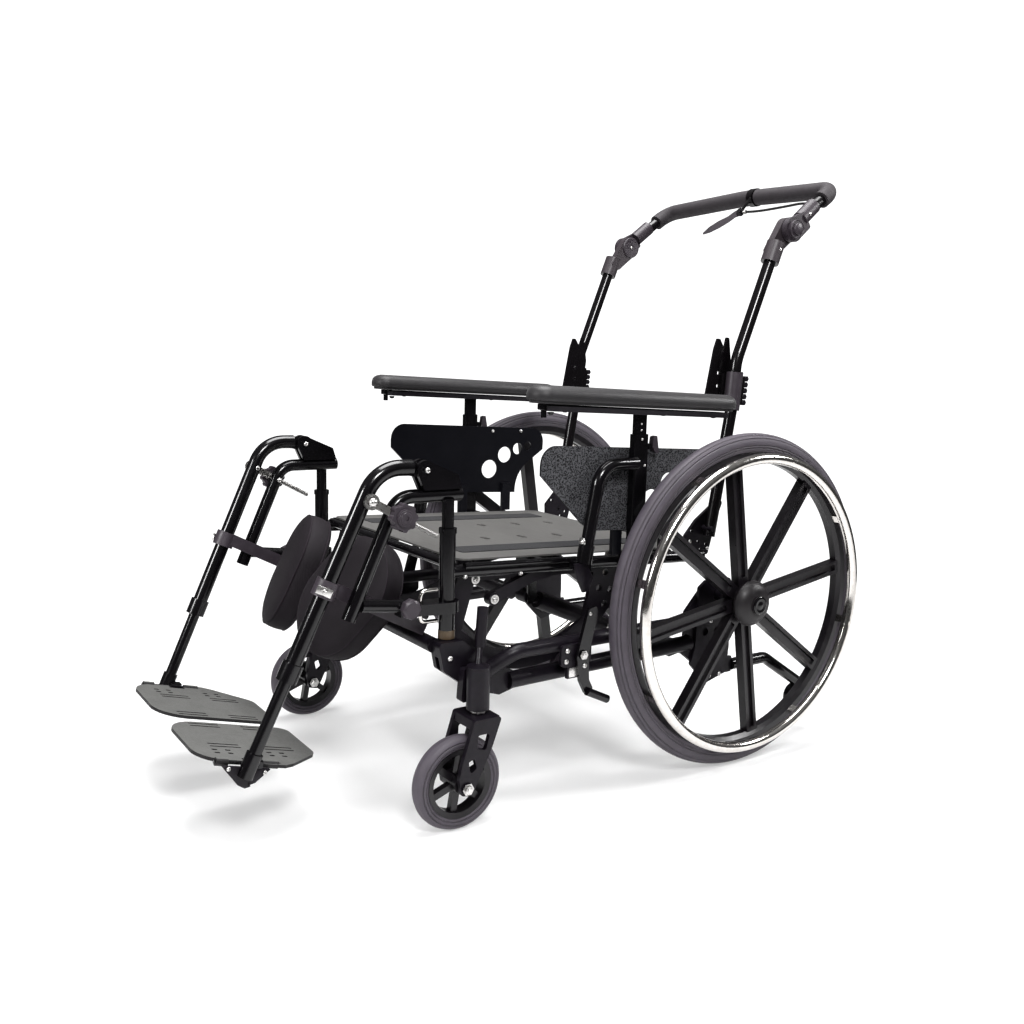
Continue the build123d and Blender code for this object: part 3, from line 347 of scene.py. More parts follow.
CASTER_X, CASTER_Y, CASTER_Z = 297, -578, 76
caster_middle = at(CASTER_X, CASTER_Y, CASTER_Z)
dress(rubber("grey_caster_rubber", caster_middle, (0.0605, 0.0665)), *both("caster_tyre"))
NUT = ((0, 5), (4, 5), (5.2, 4), (6.5, 4), (7.5, 3), (7.5, 0), (10, 0), (10, -1.5), (0, -1.5))
STEM_RING = ((13.1, 0), (13.4, 0.4), (13.4, 3.2), (13.1, 3.6), (12, 3.6), (12, 0), (13.1, 0))
for side, hand in HANDS:
    form = bmesh.new()
    for outward in (1, -1):
        end = at(side * CASTER_X + outward * 37.4, CASTER_Y, CASTER_Z)
        turned(form, NUT, end, (outward, 0, 0), steps=6)
    fitted(f"caster_nuts_{hand}", form, plated_steel, f"fork_{hand}", crease=25)
    turned_piece(
        f"caster_stem_ring_{hand}", STEM_RING, at(side * CASTER_X, -541, 183.4), (0, 0, 1),
        plated_steel, f"fork_{hand}", steps=40,
    )

# ---------------------------------------------------------------- wheel locks
# A pressed clamp holds each wheel lock under the upper rail. Its lever turns on a stud with
# a lock nut, and bright bolts close the clamp.


def edges_at(corners):
    """The edges that meet at some corners, each once and always in the same order."""
    return list(dict.fromkeys(edge for corner in corners for edge in corner.link_edges))


def plate(form, outline, inner, outer, soften=0.8):
    """Adds a flat plate drawn from the side, as (y, z) points, between two places along X."""
    face = form.faces.new([form.verts.new(at(inner, *corner)) for corner in outline])
    lifted = bmesh.ops.extrude_face_region(form, geom=[face])["geom"]
    corners = [item for item in lifted if isinstance(item, bmesh.types.BMVert)]
    bmesh.ops.translate(form, verts=corners, vec=((outer - inner) / 1000, 0, 0))
    bmesh.ops.bevel(
        form, geom=edges_at(corners), offset=soften / 1000, segments=2, profile=0.5,
        affect="EDGES", material=-1,
    )


CLAMP_OUTLINE = ((-368, 212), (-328, 212), (-328, 228), (-368, 228))
CLAMP_FACE = 302.7
LEVER_FACE = 311.1
for side, hand in HANDS:
    form = bmesh.new()
    turned(form, NUT, at(side * 315, -346, 250), (side, 0, 0), 0.8, steps=6)
    turned(form, HEAD, at(side * LEVER_FACE, -342, 231), (side, 0, 0), 4.6)
    turned(form, HEAD, at(side * LEVER_FACE, -333, 318), (side, 0, 0), 3.2)
    fitted(f"lock_lever_bolts_{hand}", form, plated_steel, f"lock_{hand}", crease=25)
    form = bmesh.new()
    plate(form, CLAMP_OUTLINE, side * 302.5, side * 303.6, 0.4)
    turned(form, HEAD, at(side * CLAMP_FACE, -374, 240), (side, 0, 0), 4.6)
    turned(form, HEAD, at(side * CLAMP_FACE, -372, 258), (side, 0, 0), 4.6)
    fitted(f"lock_clamp_{hand}", form, plated_steel, "base", crease=25)

# ---------------------------------------------------------------- seat pan
# The pan is a slotted sheet of satin grey aluminium. Two strips of black hook fastener are
# glued along its sides, and a cushion's base grips them.

pan_grey, place = new_finish("satin_grey_sheet", (0.21, 0.205, 0.20), 0.42, Metallic=0.6)
stretched = place.node("ShaderNodeMapping", None, {0: place, 3: (3.0, 60.0, 60.0)})
lay(
    pan_grey,
    Base_Color=tint(grain(stretched, 6, 4), (0.17, 0.166, 0.162), (0.25, 0.245, 0.238)),
    Roughness=grain(stretched, 9, 4) * 0.2 + 0.32,
    Normal=relief(grain(stretched, 14, 3), 0.0001, 0.3),
)
dress(pan_grey, "seat_pan")

hook_black, place = new_finish("hook_fastener", (0.016, 0.016, 0.017), 0.9)
lay(
    hook_black,
    Base_Color=tint(grain(place, 500), (0.008, 0.008, 0.009), (0.040, 0.040, 0.043)),
    Normal=relief(grain(place, 1400), 0.0008, 1.0),
)
SEAT_TILT = Matrix.Rotation(radians(-2.35), 4, "X")
STRIP_SIZE = (0.050, 0.40, 0.0012)
for side, hand in HANDS:
    form = bmesh.new()
    bmesh.ops.create_cube(form, size=1, matrix=Matrix.Diagonal((*STRIP_SIZE, 1)))
    upright = [edge for edge in form.edges if abs(edge.verts[0].co.z - edge.verts[1].co.z) > 0.001]
    bmesh.ops.bevel(form, geom=upright, offset=0.006, segments=4, profile=0.5, affect="EDGES", material=-1)
    stand = Matrix.Translation(at(side * 165, -309.7, 407.5)) @ SEAT_TILT
    bmesh.ops.transform(form, matrix=stand, verts=form.verts)
    fitted(f"hook_strip_{hand}", form, hook_black, "seat")

# ---------------------------------------------------------------- armrests
# An armrest pad is foam with a matt moulded skin over a board, screwed on a flat bar. The
# skin turns in under the pad, where a lip shows below it.

arm_skin, place = new_finish("matt_pad_skin", (0.026, 0.023, 0.026), 0.5, Sheen_Weight=0.1)
pebbles = place.node("ShaderNodeTexVoronoi", None, {"Vector": place, "Scale": 650.0})
lay(
    arm_skin,
    Base_Color=tint(grain(place, 12, 4), (0.010, 0.009, 0.010), (0.020, 0.018, 0.020)),
    Roughness=grain(place, 30, 4) * 0.16 + 0.42,
    Normal=relief(pebbles, 0.0003, 0.45),
)
ARM_X = 275
PAD_LENGTH = 0.446
PAD_WIDTH = 0.058
PAD_RISE = (
    (0, -5.5), (4.5, -4.8), (5.2, -1.2), (7.5, 0), (14, 0), (20, -1.4), (24.5, -5), (27.5, -11), (29, -18),
)
RECEIVER_FACE = 283.1
CATCH_OUTLINE = ((-352, 399), (-328, 400), (-312, 372), (-321, 350), (-333, 349), (-346, 374))


def stadium(form, length, width, height, round_steps=14):
    """A flat ring with straight sides and half round ends, as edges at a height."""
    ring = bmesh.ops.create_circle(form, segments=4 * round_steps, radius=width / 2)["verts"]
    for corner in ring:
        if abs(corner.co.y) < 1e-6:
            continue
        corner.co.y += (length - width) / 2 * (1 if corner.co.y > 0 else -1)
    bmesh.ops.translate(form, verts=ring, vec=(0, 0, height))
    return edges_at(ring)


def skinned(form, rings):
    """Closes a row of rings into one solid."""
    for lower, upper in zip(rings, rings[1:]):
        bmesh.ops.bridge_loops(form, edges=lower + upper)
    bmesh.ops.edgeloop_fill(form, edges=rings[0])
    bmesh.ops.edgeloop_fill(form, edges=rings[-1])


for side, hand in HANDS:
    form = bmesh.new()
    skinned(form, [
        stadium(form, PAD_LENGTH + inset / 500, PAD_WIDTH + inset / 500, height / 1000)
        for height, inset in PAD_RISE
    ])
    stand = Matrix.Translation(at(side * ARM_X, -220, 654.4)) @ SEAT_TILT
    bmesh.ops.transform(form, matrix=stand, verts=form.verts)
    pad = fitted(f"armrest_pad_{hand}", form, arm_skin, f"arm_{hand}", crease=50)
    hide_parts(f"arm_pad_{hand}")
    form = bmesh.new()
    skinned(form, [stadium(form, 0.404, 0.040, -0.0075), stadium(form, 0.408, 0.044, 0.001)])
    stand = Matrix.Translation(at(side * ARM_X, -214, 650)) @ SEAT_TILT
    bmesh.ops.transform(form, matrix=stand, verts=form.verts)
    fitted(f"armrest_board_{hand}", form, cast_black, f"arm_{hand}")
    form = bmesh.new()
    for y, z in ((-400, 647), (-372, 650.5), (-160, 642), (-40, 636.5)):
        turned(form, HEAD, at(side * ARM_X, y, z), (0, 0, -1), 5)
    fitted(f"armrest_pad_screws_{hand}", form, gloss_black, f"arm_{hand}")
    screws(
        f"armrest_post_screws_{hand}", f"arm_{hand}",
        [(side * 280.1, -212.5, z) for z in (616, 627)], (side, 0, 0), 2.2,
    )
    screws(
        f"receiver_screws_{hand}", "seat",
        [(side * RECEIVER_FACE, y, z) for y, z in ((-212.5, 601), (-222, 556), (-205, 556))],
        (side, 0, 0), 2.6,
    )
    screws(f"armrest_tube_bolt_{hand}", "seat", [(side * 284, -335, 434)], (0, -1, 0), 5, washer=True)
    form = bmesh.new()
    plate(form, CATCH_OUTLINE, side * 285, side * 289)
    fitted(f"armrest_catch_{hand}", form, cast_black, "seat")

moulded, place = new_finish("moulded_dark_plastic", (0.040, 0.033, 0.041), 0.45)
lay(
    moulded,
    Base_Color=tint(grain(place, 70, 3), (0.031, 0.025, 0.031), (0.052, 0.043, 0.053)),
    Roughness=grain(place, 110, 3) * 0.2 + 0.32,
    Normal=relief(grain(place, 900), 0.00006, 0.25),
)
dress(moulded, *both("arm_lever"), *both("adjuster_knob"), *both("calf_bracket"), "tilt_lever")
dress(moulded, "tilt_rollers_front", "tilt_rollers_rear")

# ---------------------------------------------------------------- side panels
# A side panel is a smooth black board with round holes. Its outer face is covered with
# speckled grey felt, and the board's edge shows round it as a thin light rim.

FELT_FROM = 0.2636
panel_board, place = new_finish("panel_board_and_felt", (0.006, 0.006, 0.008), 0.3, Specular_IOR_Level=0.3)
outer = place.maths("ABSOLUTE", measure(place, X)) > FELT_FROM
fleck = place.node("ShaderNodeTexVoronoi", None, {"Vector": place, "Scale": 420.0})
flecks = (fleck > 0.46) * grain(place, 900, 2)
felt = tint(flecks * 1.2, (0.006, 0.006, 0.007), (0.13, 0.13, 0.14))
board = tint(grain(place, 20, 3), (0.004, 0.004, 0.006), (0.009, 0.009, 0.012))
lay(
    panel_board,
    Base_Color=place.node("ShaderNodeMix", {"data_type": "RGBA"}, {0: outer, 6: board, 7: felt}, 2),
    Roughness=outer * 0.6 + 0.28,
    Normal=relief(outer * grain(place, 800, 3), 0.0006, 0.8),
)
dress(panel_board, "side_panels")
for side, hand in HANDS:
    screws(
        f"panel_screws_{hand}", "seat",
        [(side * 259, -163.8, 573.6), (side * 259, -90.4, 572.1)], (-side, 0, 0), 3.6,
    )

# ---------------------------------------------------------------- legrests
# The legrest's elevating strut is a flat bar with a threaded end, which slides through a
# pivot block and is clamped there by a knob.

THREAD_PITCH = 0.0018
ROD_WAY = (0, -0.880, 0.474)


def along(place, way):
    """How far a point lies along a direction, in metres."""
    return place.node("ShaderNodeVectorMath", {"operation": "DOT_PRODUCT"}, {0: place, 1: way}, 1)


bare_steel, place = new_finish("threaded_steel_rod", (0.42, 0.41, 0.40), 0.3, Metallic=1.0)
thread_and_shade = place.maths("SINE", along(place, ROD_WAY) * (2 * pi / THREAD_PITCH))
# The threaded end is painted dark in its roots and light on its crests, as painted shade and painted
# highlight.
lay(
    bare_steel,
    Base_Color=tint(thread_and_shade * 0.5 + 0.5, (0.16, 0.155, 0.15), (0.62, 0.61, 0.60)),
    Roughness=grain(place, 200, 3) * 0.2 + 0.2,
    Normal=relief(thread_and_shade, 0.0004, 0.8),
)
dress(bare_steel, *both("adjuster_rod"))
dress(plated_steel, *both("adjuster_block"), "tilt_rod")

KNOB_FACE = ((0, 0.6), (3.4, 0.6), (3.8, 1.8), (8.5, 1.8), (9.2, 0.8), (11.8, 0.8), (12.4, -0.5), (0, -0.5))
LATCH_KNOB = ((0, 16), (12.5, 16), (15.4, 14), (16.4, 11), (16.4, 3), (15, 0), (0, 0))
STRUT_BALL = ((0, 6.2), (3, 5.8), (5.6, 4), (7, 1.2), (7, -1.6), (4, -2.4), (0, -2.4))
POST_CAP = ((12.6, 0), (13.5, 0.6), (13.5, 13.4), (12.9, 14), (12.0, 14), (12.0, 0), (12.6, 0))
bronze_cap, place = new_finish("bronze_brown_cap", (0.10, 0.072, 0.045), 0.42)
lay(bronze_cap, Roughness=grain(place, 160, 3) * 0.2 + 0.32)


def swept(form, route, diameter, sides=14):
    """Adds a round bar along a route of places, rounded off at each of its corners."""
    places = [route[0]]
    for before, corner, after in zip(route, route[1:], route[2:]):
        reach = min((before - corner).length, (after - corner).length, 0.022) * 0.48
        start = corner + (before - corner).normalized() * reach
        end = corner + (after - corner).normalized() * reach
        for step in range(7):
            share = step / 6
            places.append(start * (1 - share) ** 2 + corner * 2 * share * (1 - share) + end * share**2)
    places.append(route[-1])
    loops = []
    for number, spot in enumerate(places):
        heading = places[min(number + 1, len(places) - 1)] - places[max(number - 1, 0)]
        ring = bmesh.ops.create_circle(
            form, segments=sides, radius=diameter / 2000,
            matrix=Matrix.Translation(spot) @ heading.to_track_quat("Z", "X").to_matrix().to_4x4(),
        )["verts"]
        loops.append(edges_at(ring))
    skinned(form, loops)


LEG_RUN = Vector((-20, -202, -446)).normalized()
PIVOT_Y, PIVOT_Z = -610, 561.5
KNOB_Z = 494.8
BALL_Y, BALL_Z = -703.5, 519
for side, hand in HANDS:
    turned_piece(
        f"strut_knob_face_{hand}", KNOB_FACE, at(side * 276.8, -658.6, KNOB_Z), (side, 0, 0),
        moulded, f"adjuster_knob_{hand}", steps=36,
    )
    turned_piece(
        f"latch_knob_{hand}", LATCH_KNOB, at(side * 243, -636, 349), (side, 0, 0),
        moulded, f"hanger_{hand}", steps=8, crease=30,
    )
    form = bmesh.new()
    swept(form, [at(side * 239, y, z) for y, z in ((-583, 372), (-613, 372), (-613, 322), (-583, 322))], 6.4)
    fitted(f"latch_wire_{hand}", form, stainless, f"hanger_{hand}", crease=60)
    turned_piece(
        f"post_cap_{hand}", POST_CAP, at(side * 243, -568, 292.6), (0, 0, 1),
        bronze_cap, "seat", steps=40,
    )
    turned_piece(
        f"strut_ball_{hand}", STRUT_BALL, at(side * 258, BALL_Y, BALL_Z), (side, 0, 0),
        plated_steel, f"leg_{hand}",
    )
    screws(f"hinge_screw_{hand}", f"hanger_{hand}", [(side * 253, PIVOT_Y, PIVOT_Z)], (side, 0, 0), 4.6)
    screws(
        f"hanger_inner_screws_{hand}", f"hanger_{hand}",
        [(side * 217, PIVOT_Y, PIVOT_Z), (side * 223, -661, KNOB_Z)], (-side, 0, 0), 4.6,
    )
    screws(f"strut_inner_screw_{hand}", f"leg_{hand}", [(side * 222.6, BALL_Y, BALL_Z)], (-side, 0, 0), 4.6)
    form = bmesh.new()
    outward = Vector((side * 0.88, -0.47, 0))
    clamp = at(side * 227.1, -765.6, 390.3) + outward * 0.0178
    outward.normalize()
    run = Vector((side * LEG_RUN.x, LEG_RUN.y, LEG_RUN.z))
    lengthways = (run - outward * outward.dot(LEG_RUN)).normalized()
    stand = Matrix((outward, lengthways, outward.cross(lengthways))).transposed().to_4x4()
    stand = Matrix.Translation(clamp) @ stand @ Matrix.Diagonal((0.003, 0.013, 0.024, 1))
    bmesh.ops.create_cube(form, size=1, matrix=stand)
    bmesh.ops.bevel(
        form, geom=list(form.edges), offset=0.001, segments=2, profile=0.5, affect="EDGES", material=-1,
    )
    turned(form, HEAD, clamp + outward * 0.0016, outward, 3.6)
    fitted(f"calf_clamp_plate_{hand}", form, plated_steel, f"leg_{hand}", crease=30)

# ---------------------------------------------------------------- calf pads
# A calf pad is an oval of foam on a round plate. Dark stretch fabric covers it, in a front
# and a back panel that are sewn to a band, with piping in both seams.

CALF_TURN = radians(15)
CALF_LEAN = 0.45
CALF_MIDDLE = at(112, -676, 342)
WEAVE_WAVES = 260.0
calf_across = Vector((cos(CALF_TURN), sin(CALF_TURN), 0))
calf_face = Vector((sin(CALF_TURN), -cos(CALF_TURN), CALF_LEAN)).normalized()

calf_fabric, place = new_finish("calf_pad_fabric", (0.010, 0.006, 0.010), 0.8, Specular_IOR_Level=0.35)
weave_x = place.node("ShaderNodeTexWave", {"bands_direction": "X"}, {"Vector": place, "Scale": WEAVE_WAVES})
weave_z = place.node("ShaderNodeTexWave", {"bands_direction": "Z"}, {"Vector": place, "Scale": WEAVE_WAVES})
weave = weave_x * weave_z
mirrored = place.node("ShaderNodeVectorMath", {"operation": "ABSOLUTE"}, {0: place})
sideways = measure(mirrored, X) * calf_face.x
from_plate = sideways + along(place, (0, calf_face.y, calf_face.z)) - calf_face.dot(CALF_MIDDLE)
# The piped seams are painted lighter, as a painted highlight along both seams.
piping_highlight = line_at(from_plate, 0.016, 0.0013) + line_at(from_plate, -0.019, 0.0013)
lay(
    calf_fabric,
    Base_Color=tint(
        weave * 0.5 + grain(place, 30, 4) * 0.5 + piping_highlight * 2.5, (0.004, 0.0025, 0.004), (0.014, 0.009, 0.014),
    ),
    Roughness=weave * 0.15 + 0.72,
    Normal=relief(weave, 0.0004, 0.5),
)
CALF_LENGTH = 0.214
CALF_WIDTH = 0.168
CALF_PROFILE = (
    (-26, 16), (-25, 9), (-22.5, 4.5), (-20.6, 2.6), (-19.6, 1.0), (-18.4, 0.8), (-17.4, 2.2),
    (-12, 0.8), (-3, 0), (6, 0.4), (12, 1.6), (14.6, 3.2), (15.4, 1.8), (16.6, 1.8), (17.6, 3.8),
    (20, 8), (22.6, 15), (24.6, 26), (26, 42), (26.8, 62), (27, 78),
)
calf_stand = Matrix((calf_across, calf_face.cross(calf_across), calf_face)).transposed().to_4x4()
calf_stand = Matrix.Translation(CALF_MIDDLE) @ calf_stand
for (side, hand), roll in zip(HANDS, (-32, 0)):
    form = bmesh.new()
    skinned(form, [
        stadium(form, CALF_LENGTH - inset / 500, CALF_WIDTH - inset / 500, height / 1000, 20)
        for height, inset in CALF_PROFILE
    ])
    stand = Matrix.Diagonal((side, 1, 1, 1)) @ calf_stand @ Matrix.Rotation(radians(roll), 4, "Z")
    bmesh.ops.transform(form, matrix=stand, verts=form.verts)
    pad = fitted(f"calf_cushion_{hand}", form, calf_fabric, f"calf_{hand}", crease=60)
    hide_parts(f"calf_pad_{hand}")

# ---------------------------------------------------------------- footplates
# A footplate is a slotted plate with a dark grey textured face. Its edges and underside are black, and it
# flips up on a hinge pin. The walls of its slots are black too, as painted shade in the slots.

footplate_grey, place = new_finish("footplate_coat", (0.13, 0.135, 0.135), 0.5)
FOOT_MIDDLE = at(0, -912, 143.8)
FOOT_SLOPE = 0.264
FOOT_FACE = (0, 0.255, 0.967)
above = measure(place, Z) - FOOT_MIDDLE.z + (measure(place, Y) - FOOT_MIDDLE.y) * FOOT_SLOPE
facing = place.node("ShaderNodeTexCoord", None, None, 1)
# The grey lies only where the face looks up. The edges and underside are black coat, and the slots' walls
# stay black as painted shade.
top_face = (above > 0.0022) * (along(facing, FOOT_FACE) > 0.9)
grey_top_and_slot_shade = top_face * (grain(place, 40, 4) * 0.4 + 0.75)
lay(
    footplate_grey,
    Base_Color=tint(grey_top_and_slot_shade, (0.006, 0.005, 0.006), (0.120, 0.120, 0.116)),
    Roughness=grain(place, 200, 3) * 0.25 + 0.38,
    Normal=relief(grain(place, 1100, 3), 0.0003, 0.6),
)
dress(footplate_grey, *both("footplate"))

HINGE_OUTLINES = (
    ((-921, 144), (-898, 138), (-884, 134), (-879, 104), (-888, 103), (-898, 110)),
    ((-848, 124), (-862, 127.5), (-878, 131), (-884, 106), (-872, 108)),
)
for side, hand in HANDS:
    form = bmesh.new()
    for outline in HINGE_OUTLINES:
        plate(form, outline, side * 209.2, side * 215)
    fitted(f"footplate_hinge_{hand}", form, cast_black, f"extension_{hand}")
    screws(
        f"footplate_bolts_{hand}", f"extension_{hand}",
        [(side * 215.1, -911, 138), (side * 215.1, -857, 121)], (side, 0, 0), 3.4,
    )

# ---------------------------------------------------------------- push handle
# The grip is a sleeve of ribless foam rubber in two halves, with a steel ring between them
# that carries the tilt lever and the stop of its cable.

grip_foam, place = new_finish("grip_foam", (0.060, 0.052, 0.058), 0.7)
lay(
    grip_foam,
    Base_Color=tint(grain(place, 60, 4), (0.026, 0.022, 0.025), (0.042, 0.037, 0.042)),
    Roughness=grain(place, 90, 3) * 0.2 + 0.6,
    Normal=relief(grain(place, 1500, 2), 0.0003, 0.6),
)
dress(grip_foam, "handle_grip")
cable_black, place = new_finish("cable_jacket", (0.012, 0.011, 0.012), 0.45)
lay(cable_black, Roughness=grain(place, 300, 3) * 0.2 + 0.35)
CABLE_ROUTE = (
    (32, 262.1, 1043.8), (63.6, 257.5, 1040), (140, 262, 1043), (196, 262, 1046), (221, 252, 1036.5),
)
route = bpy.data.curves.new("tilt_cable_line", "CURVE")
route.dimensions = "3D"
route.bevel_depth = 0.0025
route.bevel_resolution = 5
route.resolution_u = 10
route.use_fill_caps = True
line = route.splines.new("NURBS")
line.points.add(len(CABLE_ROUTE) - 1)
for point, spot in zip(line.points, CABLE_ROUTE):
    point.co = (*at(*spot), 1)
line.order_u = 3
line.use_endpoint_u = True
route.materials.append(cable_black)
cable = bpy.data.objects.new("tilt_cable_line", route)
bpy.context.collection.objects.link(cable)
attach(cable, "handle")
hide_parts("tilt_cable")
at(*CABLE_ROUTE[0])

CABLE_WAY = (1, -0.15, -0.1)
form = bmesh.new()
turned(form, NUT, at(32.5, 262.1, 1043.7), CABLE_WAY, 0.5, steps=6)
turned(form, NUT, at(36.5, 261.5, 1043.3), CABLE_WAY, 0.42, steps=24)
fitted("cable_stop_nuts", form, plated_steel, "handle", crease=25)

# The lever is a moulded leaf between two cheeks, which hang from the grip's ring. Both are
# drawn along Y from the pin, and then turned to where the lever is.
LEVER_PIVOT = at(13, 270, 1046)
RING_FOOT = at(27, 284, 1074)
LEAF_OUTLINE = (
    (-5, -5), (6, -6), (14, -4.5), (30, -6.5), (52, -7), (74, -5.5), (88, -2),
    (88, 1), (70, 5.5), (48, 6.5), (26, 5), (10, 7), (-4, 6),
)
CHEEK_REACH = 0.72
LEAF_BOSS = ((0, 4), (6.8, 4), (7.2, 3.6), (7.2, -3.6), (6.8, -4), (0, -4))
lever_run = Vector((-53, -53, -44)).normalized()
lever_pin = Vector((-1, 1, 0)).normalized()
lever_stand = Matrix((lever_pin, lever_run, lever_pin.cross(lever_run))).transposed().to_4x4()
lever_stand = Matrix.Translation(LEVER_PIVOT) @ lever_stand @ Matrix.Translation(-at(0, 0, 0))
form = bmesh.new()
plate(form, LEAF_OUTLINE, -3.4, 3.4, soften=1.6)
turned(form, LEAF_BOSS, at(0, 0, 0), (1, 0, 0), steps=32)
bmesh.ops.transform(form, matrix=lever_stand, verts=form.verts)
leaf_lever = fitted("tilt_lever_leaf", form, moulded, "lever", crease=50)
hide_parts("tilt_lever")
form = bmesh.new()
foot = lever_stand.to_3x3().inverted() @ (RING_FOOT - LEVER_PIVOT) * 1000 * CHEEK_REACH
cheek_outline = ((-7, -3), (0, -8), (8, -3), (foot.y + 7, foot.z - 2), (foot.y - 7, foot.z + 2), (-8, 4))
for inner, outer in ((6.6, 9.2), (-9.2, -6.6)):
    plate(form, cheek_outline, inner, outer, 0.6)
turned(form, HEAD, at(-9.2, 0, 0), (-1, 0, 0), 3.4)
bmesh.ops.transform(form, matrix=lever_stand, verts=form.verts)
fitted("lever_cheeks", form, cast_black, "handle", crease=40)

# ---------------------------------------------------------------- handle joints and canes
# A moulded joint with a knob lets the push handle turn on each cane. The canes are gloss
# black tube with a moulded sleeve at each end, and a toothed clamp holds each to its bracket.

BAR_WAY = Vector((0, 0.787, 0.617))
CANE_WAY = Vector((0, 0.371, 0.928))
TUBE_FROM = 0.8205
SLEEVE_FROM = 0.8970
setback = Vector((0, AXLE_SETBACK, 0))

bar_black, place = new_finish("handlebar_coat_and_joints", (0.006, 0.005, 0.006), 0.2)
tube = along(place, BAR_WAY) > TUBE_FROM + BAR_WAY.dot(setback)
lay(
    bar_black,
    Base_Color=tint(tube, (0.036, 0.029, 0.036), (0.005, 0.004, 0.005)),
    Roughness=0.42 - tube * 0.2 + grain(place, 60, 3) * 0.1,
)
dress(bar_black, "handlebar")

cane_black, place = new_finish("cane_coat_and_sleeves", (0.005, 0.004, 0.005), 0.2)
sleeve = along(place, CANE_WAY) > SLEEVE_FROM + CANE_WAY.dot(setback)
lay(
    cane_black,
    Base_Color=tint(sleeve, (0.005, 0.004, 0.005), (0.040, 0.033, 0.038)),
    Roughness=sleeve * 0.22 + grain(place, 18, 4) * 0.16 + 0.12,
)
dress(cane_black, "back_canes")

JOINT_DISC = ((0, 2.4), (5, 2.4), (6, 3), (20.5, 3), (22.4, 1.4), (22.4, -1), (0, -1))
JOINT_KNOB = (
    (0, 6.5), (8, 6.2), (10.2, 5), (11, 2.6), (11, 0.4),
    (15.6, 0.4), (16.4, 1.2), (17.2, 0.2), (17.2, -2), (0, -2),
)
CANE_SLEEVE = ((11.6, 0), (15.3, 0.4), (15.3, 70), (11.6, 70.6))
TOOTH = ((0, 0), (5.2, 0), (5.6, 0.4), (5.6, 13.6), (5.2, 14), (0, 14))
JOINT_Z = 982
for side, hand in HANDS:
    turned_piece(
        f"joint_knob_{hand}", JOINT_KNOB, at(side * 256, 171, JOINT_Z), (side, 0, 0),
        moulded, "handle", steps=40, crease=30,
    )
    turned_piece(
        f"joint_disc_{hand}", JOINT_DISC, at(side * 222.2, 172, JOINT_Z), (-side, 0, 0),
        moulded, "back", steps=48, crease=30,
    )
    screws(f"joint_pin_{hand}", "back", [(side * 219.6, 172, JOINT_Z)], (-side, 0, 0), 3)
    screws(f"joint_screw_{hand}", "handle", [(side * 252.8, 209, 1013)], (side, 0, 0), 2.8)
    screws(f"sleeve_screw_{hand}", "back", [(side * 254.6, 131, 942)], (side, 0, 0), 2.8)
    turned_piece(
        f"cane_sleeve_{hand}", CANE_SLEEVE, at(side * 238, 41.5, 645.2), (0, 5.5, 71),
        moulded, "back", steps=40,
    )
    form = bmesh.new()
    for number in range(5):
        foot = at(side * 231, 68.2 + number * 0.9, 659 + number * 11)
        turned(form, TOOTH, foot, (side, 0, 0), steps=6)
    fitted(f"cane_clamp_teeth_{hand}", form, cast_black, "back", crease=30)

# ---------------------------------------------------------------- floor, light and camera
# The chair stands on a pale studio floor, which fades into a white backdrop. Soft lamps light
# it from above and all round, and the camera stands where the photograph was taken.

FLOOR_GREY = (0.52, 0.52, 0.52)
FADE_FROM = 0.95
floor_paint, place = new_finish("studio_floor", FLOOR_GREY, 0.7, Emission_Strength=1.0)
far_x = measure(place, X)
far_y = measure(place, Y)
away = far_x.maths("MINIMUM", ((far_x * far_x + far_y * far_y) ** 0.5 - FADE_FROM) * 0.95, 1.0)
away = away.maths("MAXIMUM", away, 0.0)
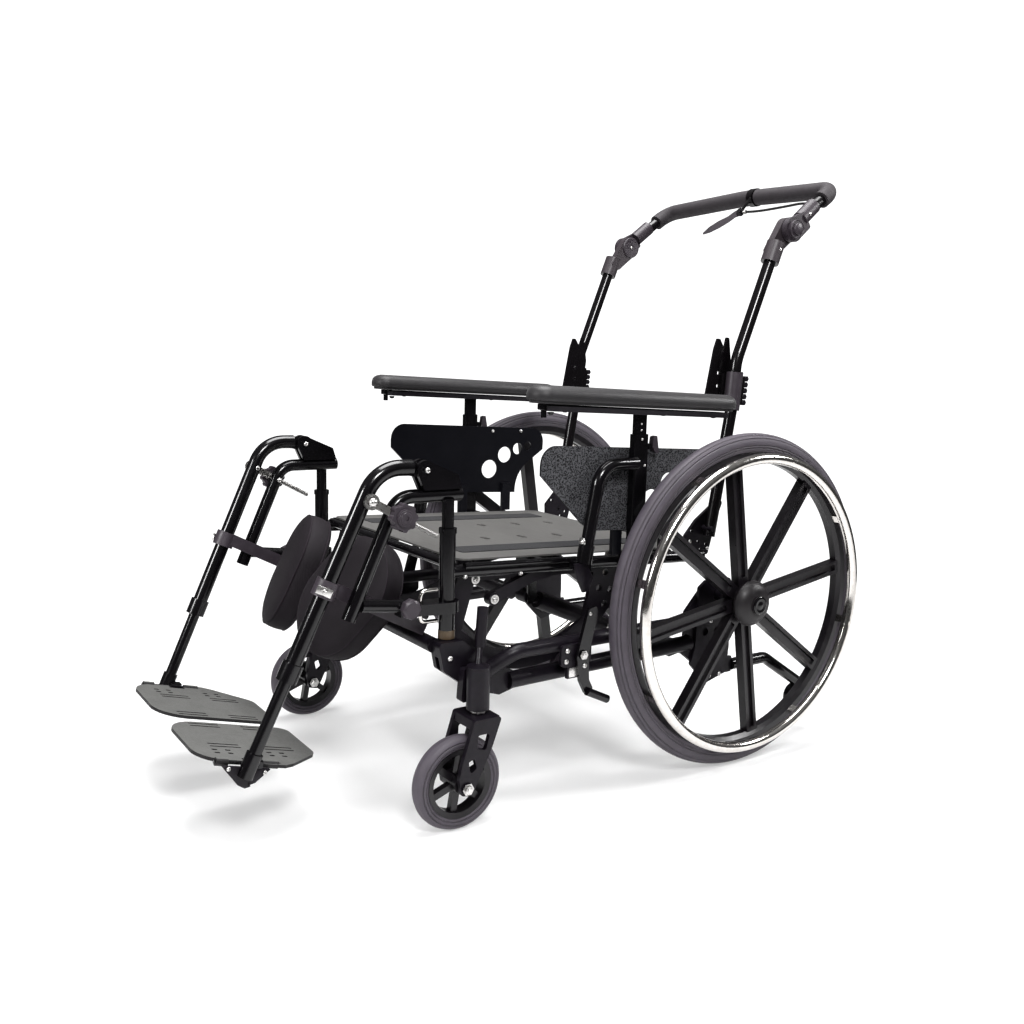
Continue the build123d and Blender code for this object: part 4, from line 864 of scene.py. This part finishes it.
# The floor glows: faintly round the chair, which lightens the shadows cast on it, and fully white further
# out, where it fades into the backdrop.
lay(
    floor_paint,
    Base_Color=tint(away, FLOOR_GREY, (0.0, 0.0, 0.0)),
    Emission_Color=tint(away, (0.36, 0.36, 0.36), (1.05, 1.05, 1.05)),
    Roughness=grain(place, 3) * 0.1 + 0.65,
)
form = bmesh.new()
bmesh.ops.create_circle(form, cap_ends=True, segments=96, radius=2.3)
bmesh.ops.translate(form, verts=form.verts, vec=(0, 0, -0.0005))
floor_mesh = bpy.data.meshes.new("studio_floor")
form.to_mesh(floor_mesh)
form.free()
floor_mesh.materials.append(floor_paint)
floor = bpy.data.objects.new("studio_floor", floor_mesh)
bpy.context.collection.objects.link(floor)

world = bpy.data.worlds.new("studio")
world.use_nodes = True
sky = world.node_tree
seen = Shade(sky, sky.nodes.new("ShaderNodeLightPath").outputs["Is Camera Ray"])
towards = Shade(sky, sky.nodes.new("ShaderNodeTexCoord").outputs["Generated"])
overhead = towards.maths("MAXIMUM", measure(towards, Z), 0.0)
sky.nodes["Background"].inputs["Color"].default_value = (1, 1, 1, 1)
sky.links.new((seen + overhead * 0.2 + 0.06).socket, sky.nodes["Background"].inputs["Strength"])
bpy.context.scene.world = world
bpy.context.scene.view_settings.view_transform = "Standard"
bpy.context.scene.view_settings.look = "Medium High Contrast"

LAMPS = (
    ("ceiling", (0.0, 0.0, 3.6), 2.2, 165),
    ("key", (2.4, -1.0, 2.4), 0.7, 60),
    ("front", (0.2, -3.0, 1.6), 0.7, 40),
    ("back", (1.6, 2.6, 2.2), 0.7, 50),
)
for name, stand, width, power in LAMPS:
    lamp = bpy.data.lights.new(name, "AREA")
    lamp.size = width
    lamp.energy = power
    light = bpy.data.objects.new(name, lamp)
    light.location = stand
    light.rotation_euler = (Vector((0, 0, 0.5)) - Vector(stand)).to_track_quat("-Z", "Y").to_euler()
    bpy.context.collection.objects.link(light)

FOCAL_PIXELS = 1017.6
PHOTO_WIDTH = 1024
SENSOR_WIDTH = 36
CAMERA_PLACE = at(1589.87, -1358.97, 736.44)
CAMERA_TURN = (81.242, -1.352, 56.147)
lens = bpy.data.cameras.new("photograph")
lens.sensor_width = SENSOR_WIDTH
lens.lens = SENSOR_WIDTH * FOCAL_PIXELS / PHOTO_WIDTH
lens.clip_end = 60
camera = bpy.data.objects.new("photograph", lens)
camera.location = CAMERA_PLACE
camera.rotation_euler = [radians(angle) for angle in CAMERA_TURN]
bpy.context.collection.objects.link(camera)
bpy.context.scene.camera = camera

bpy.context.view_layer.update()
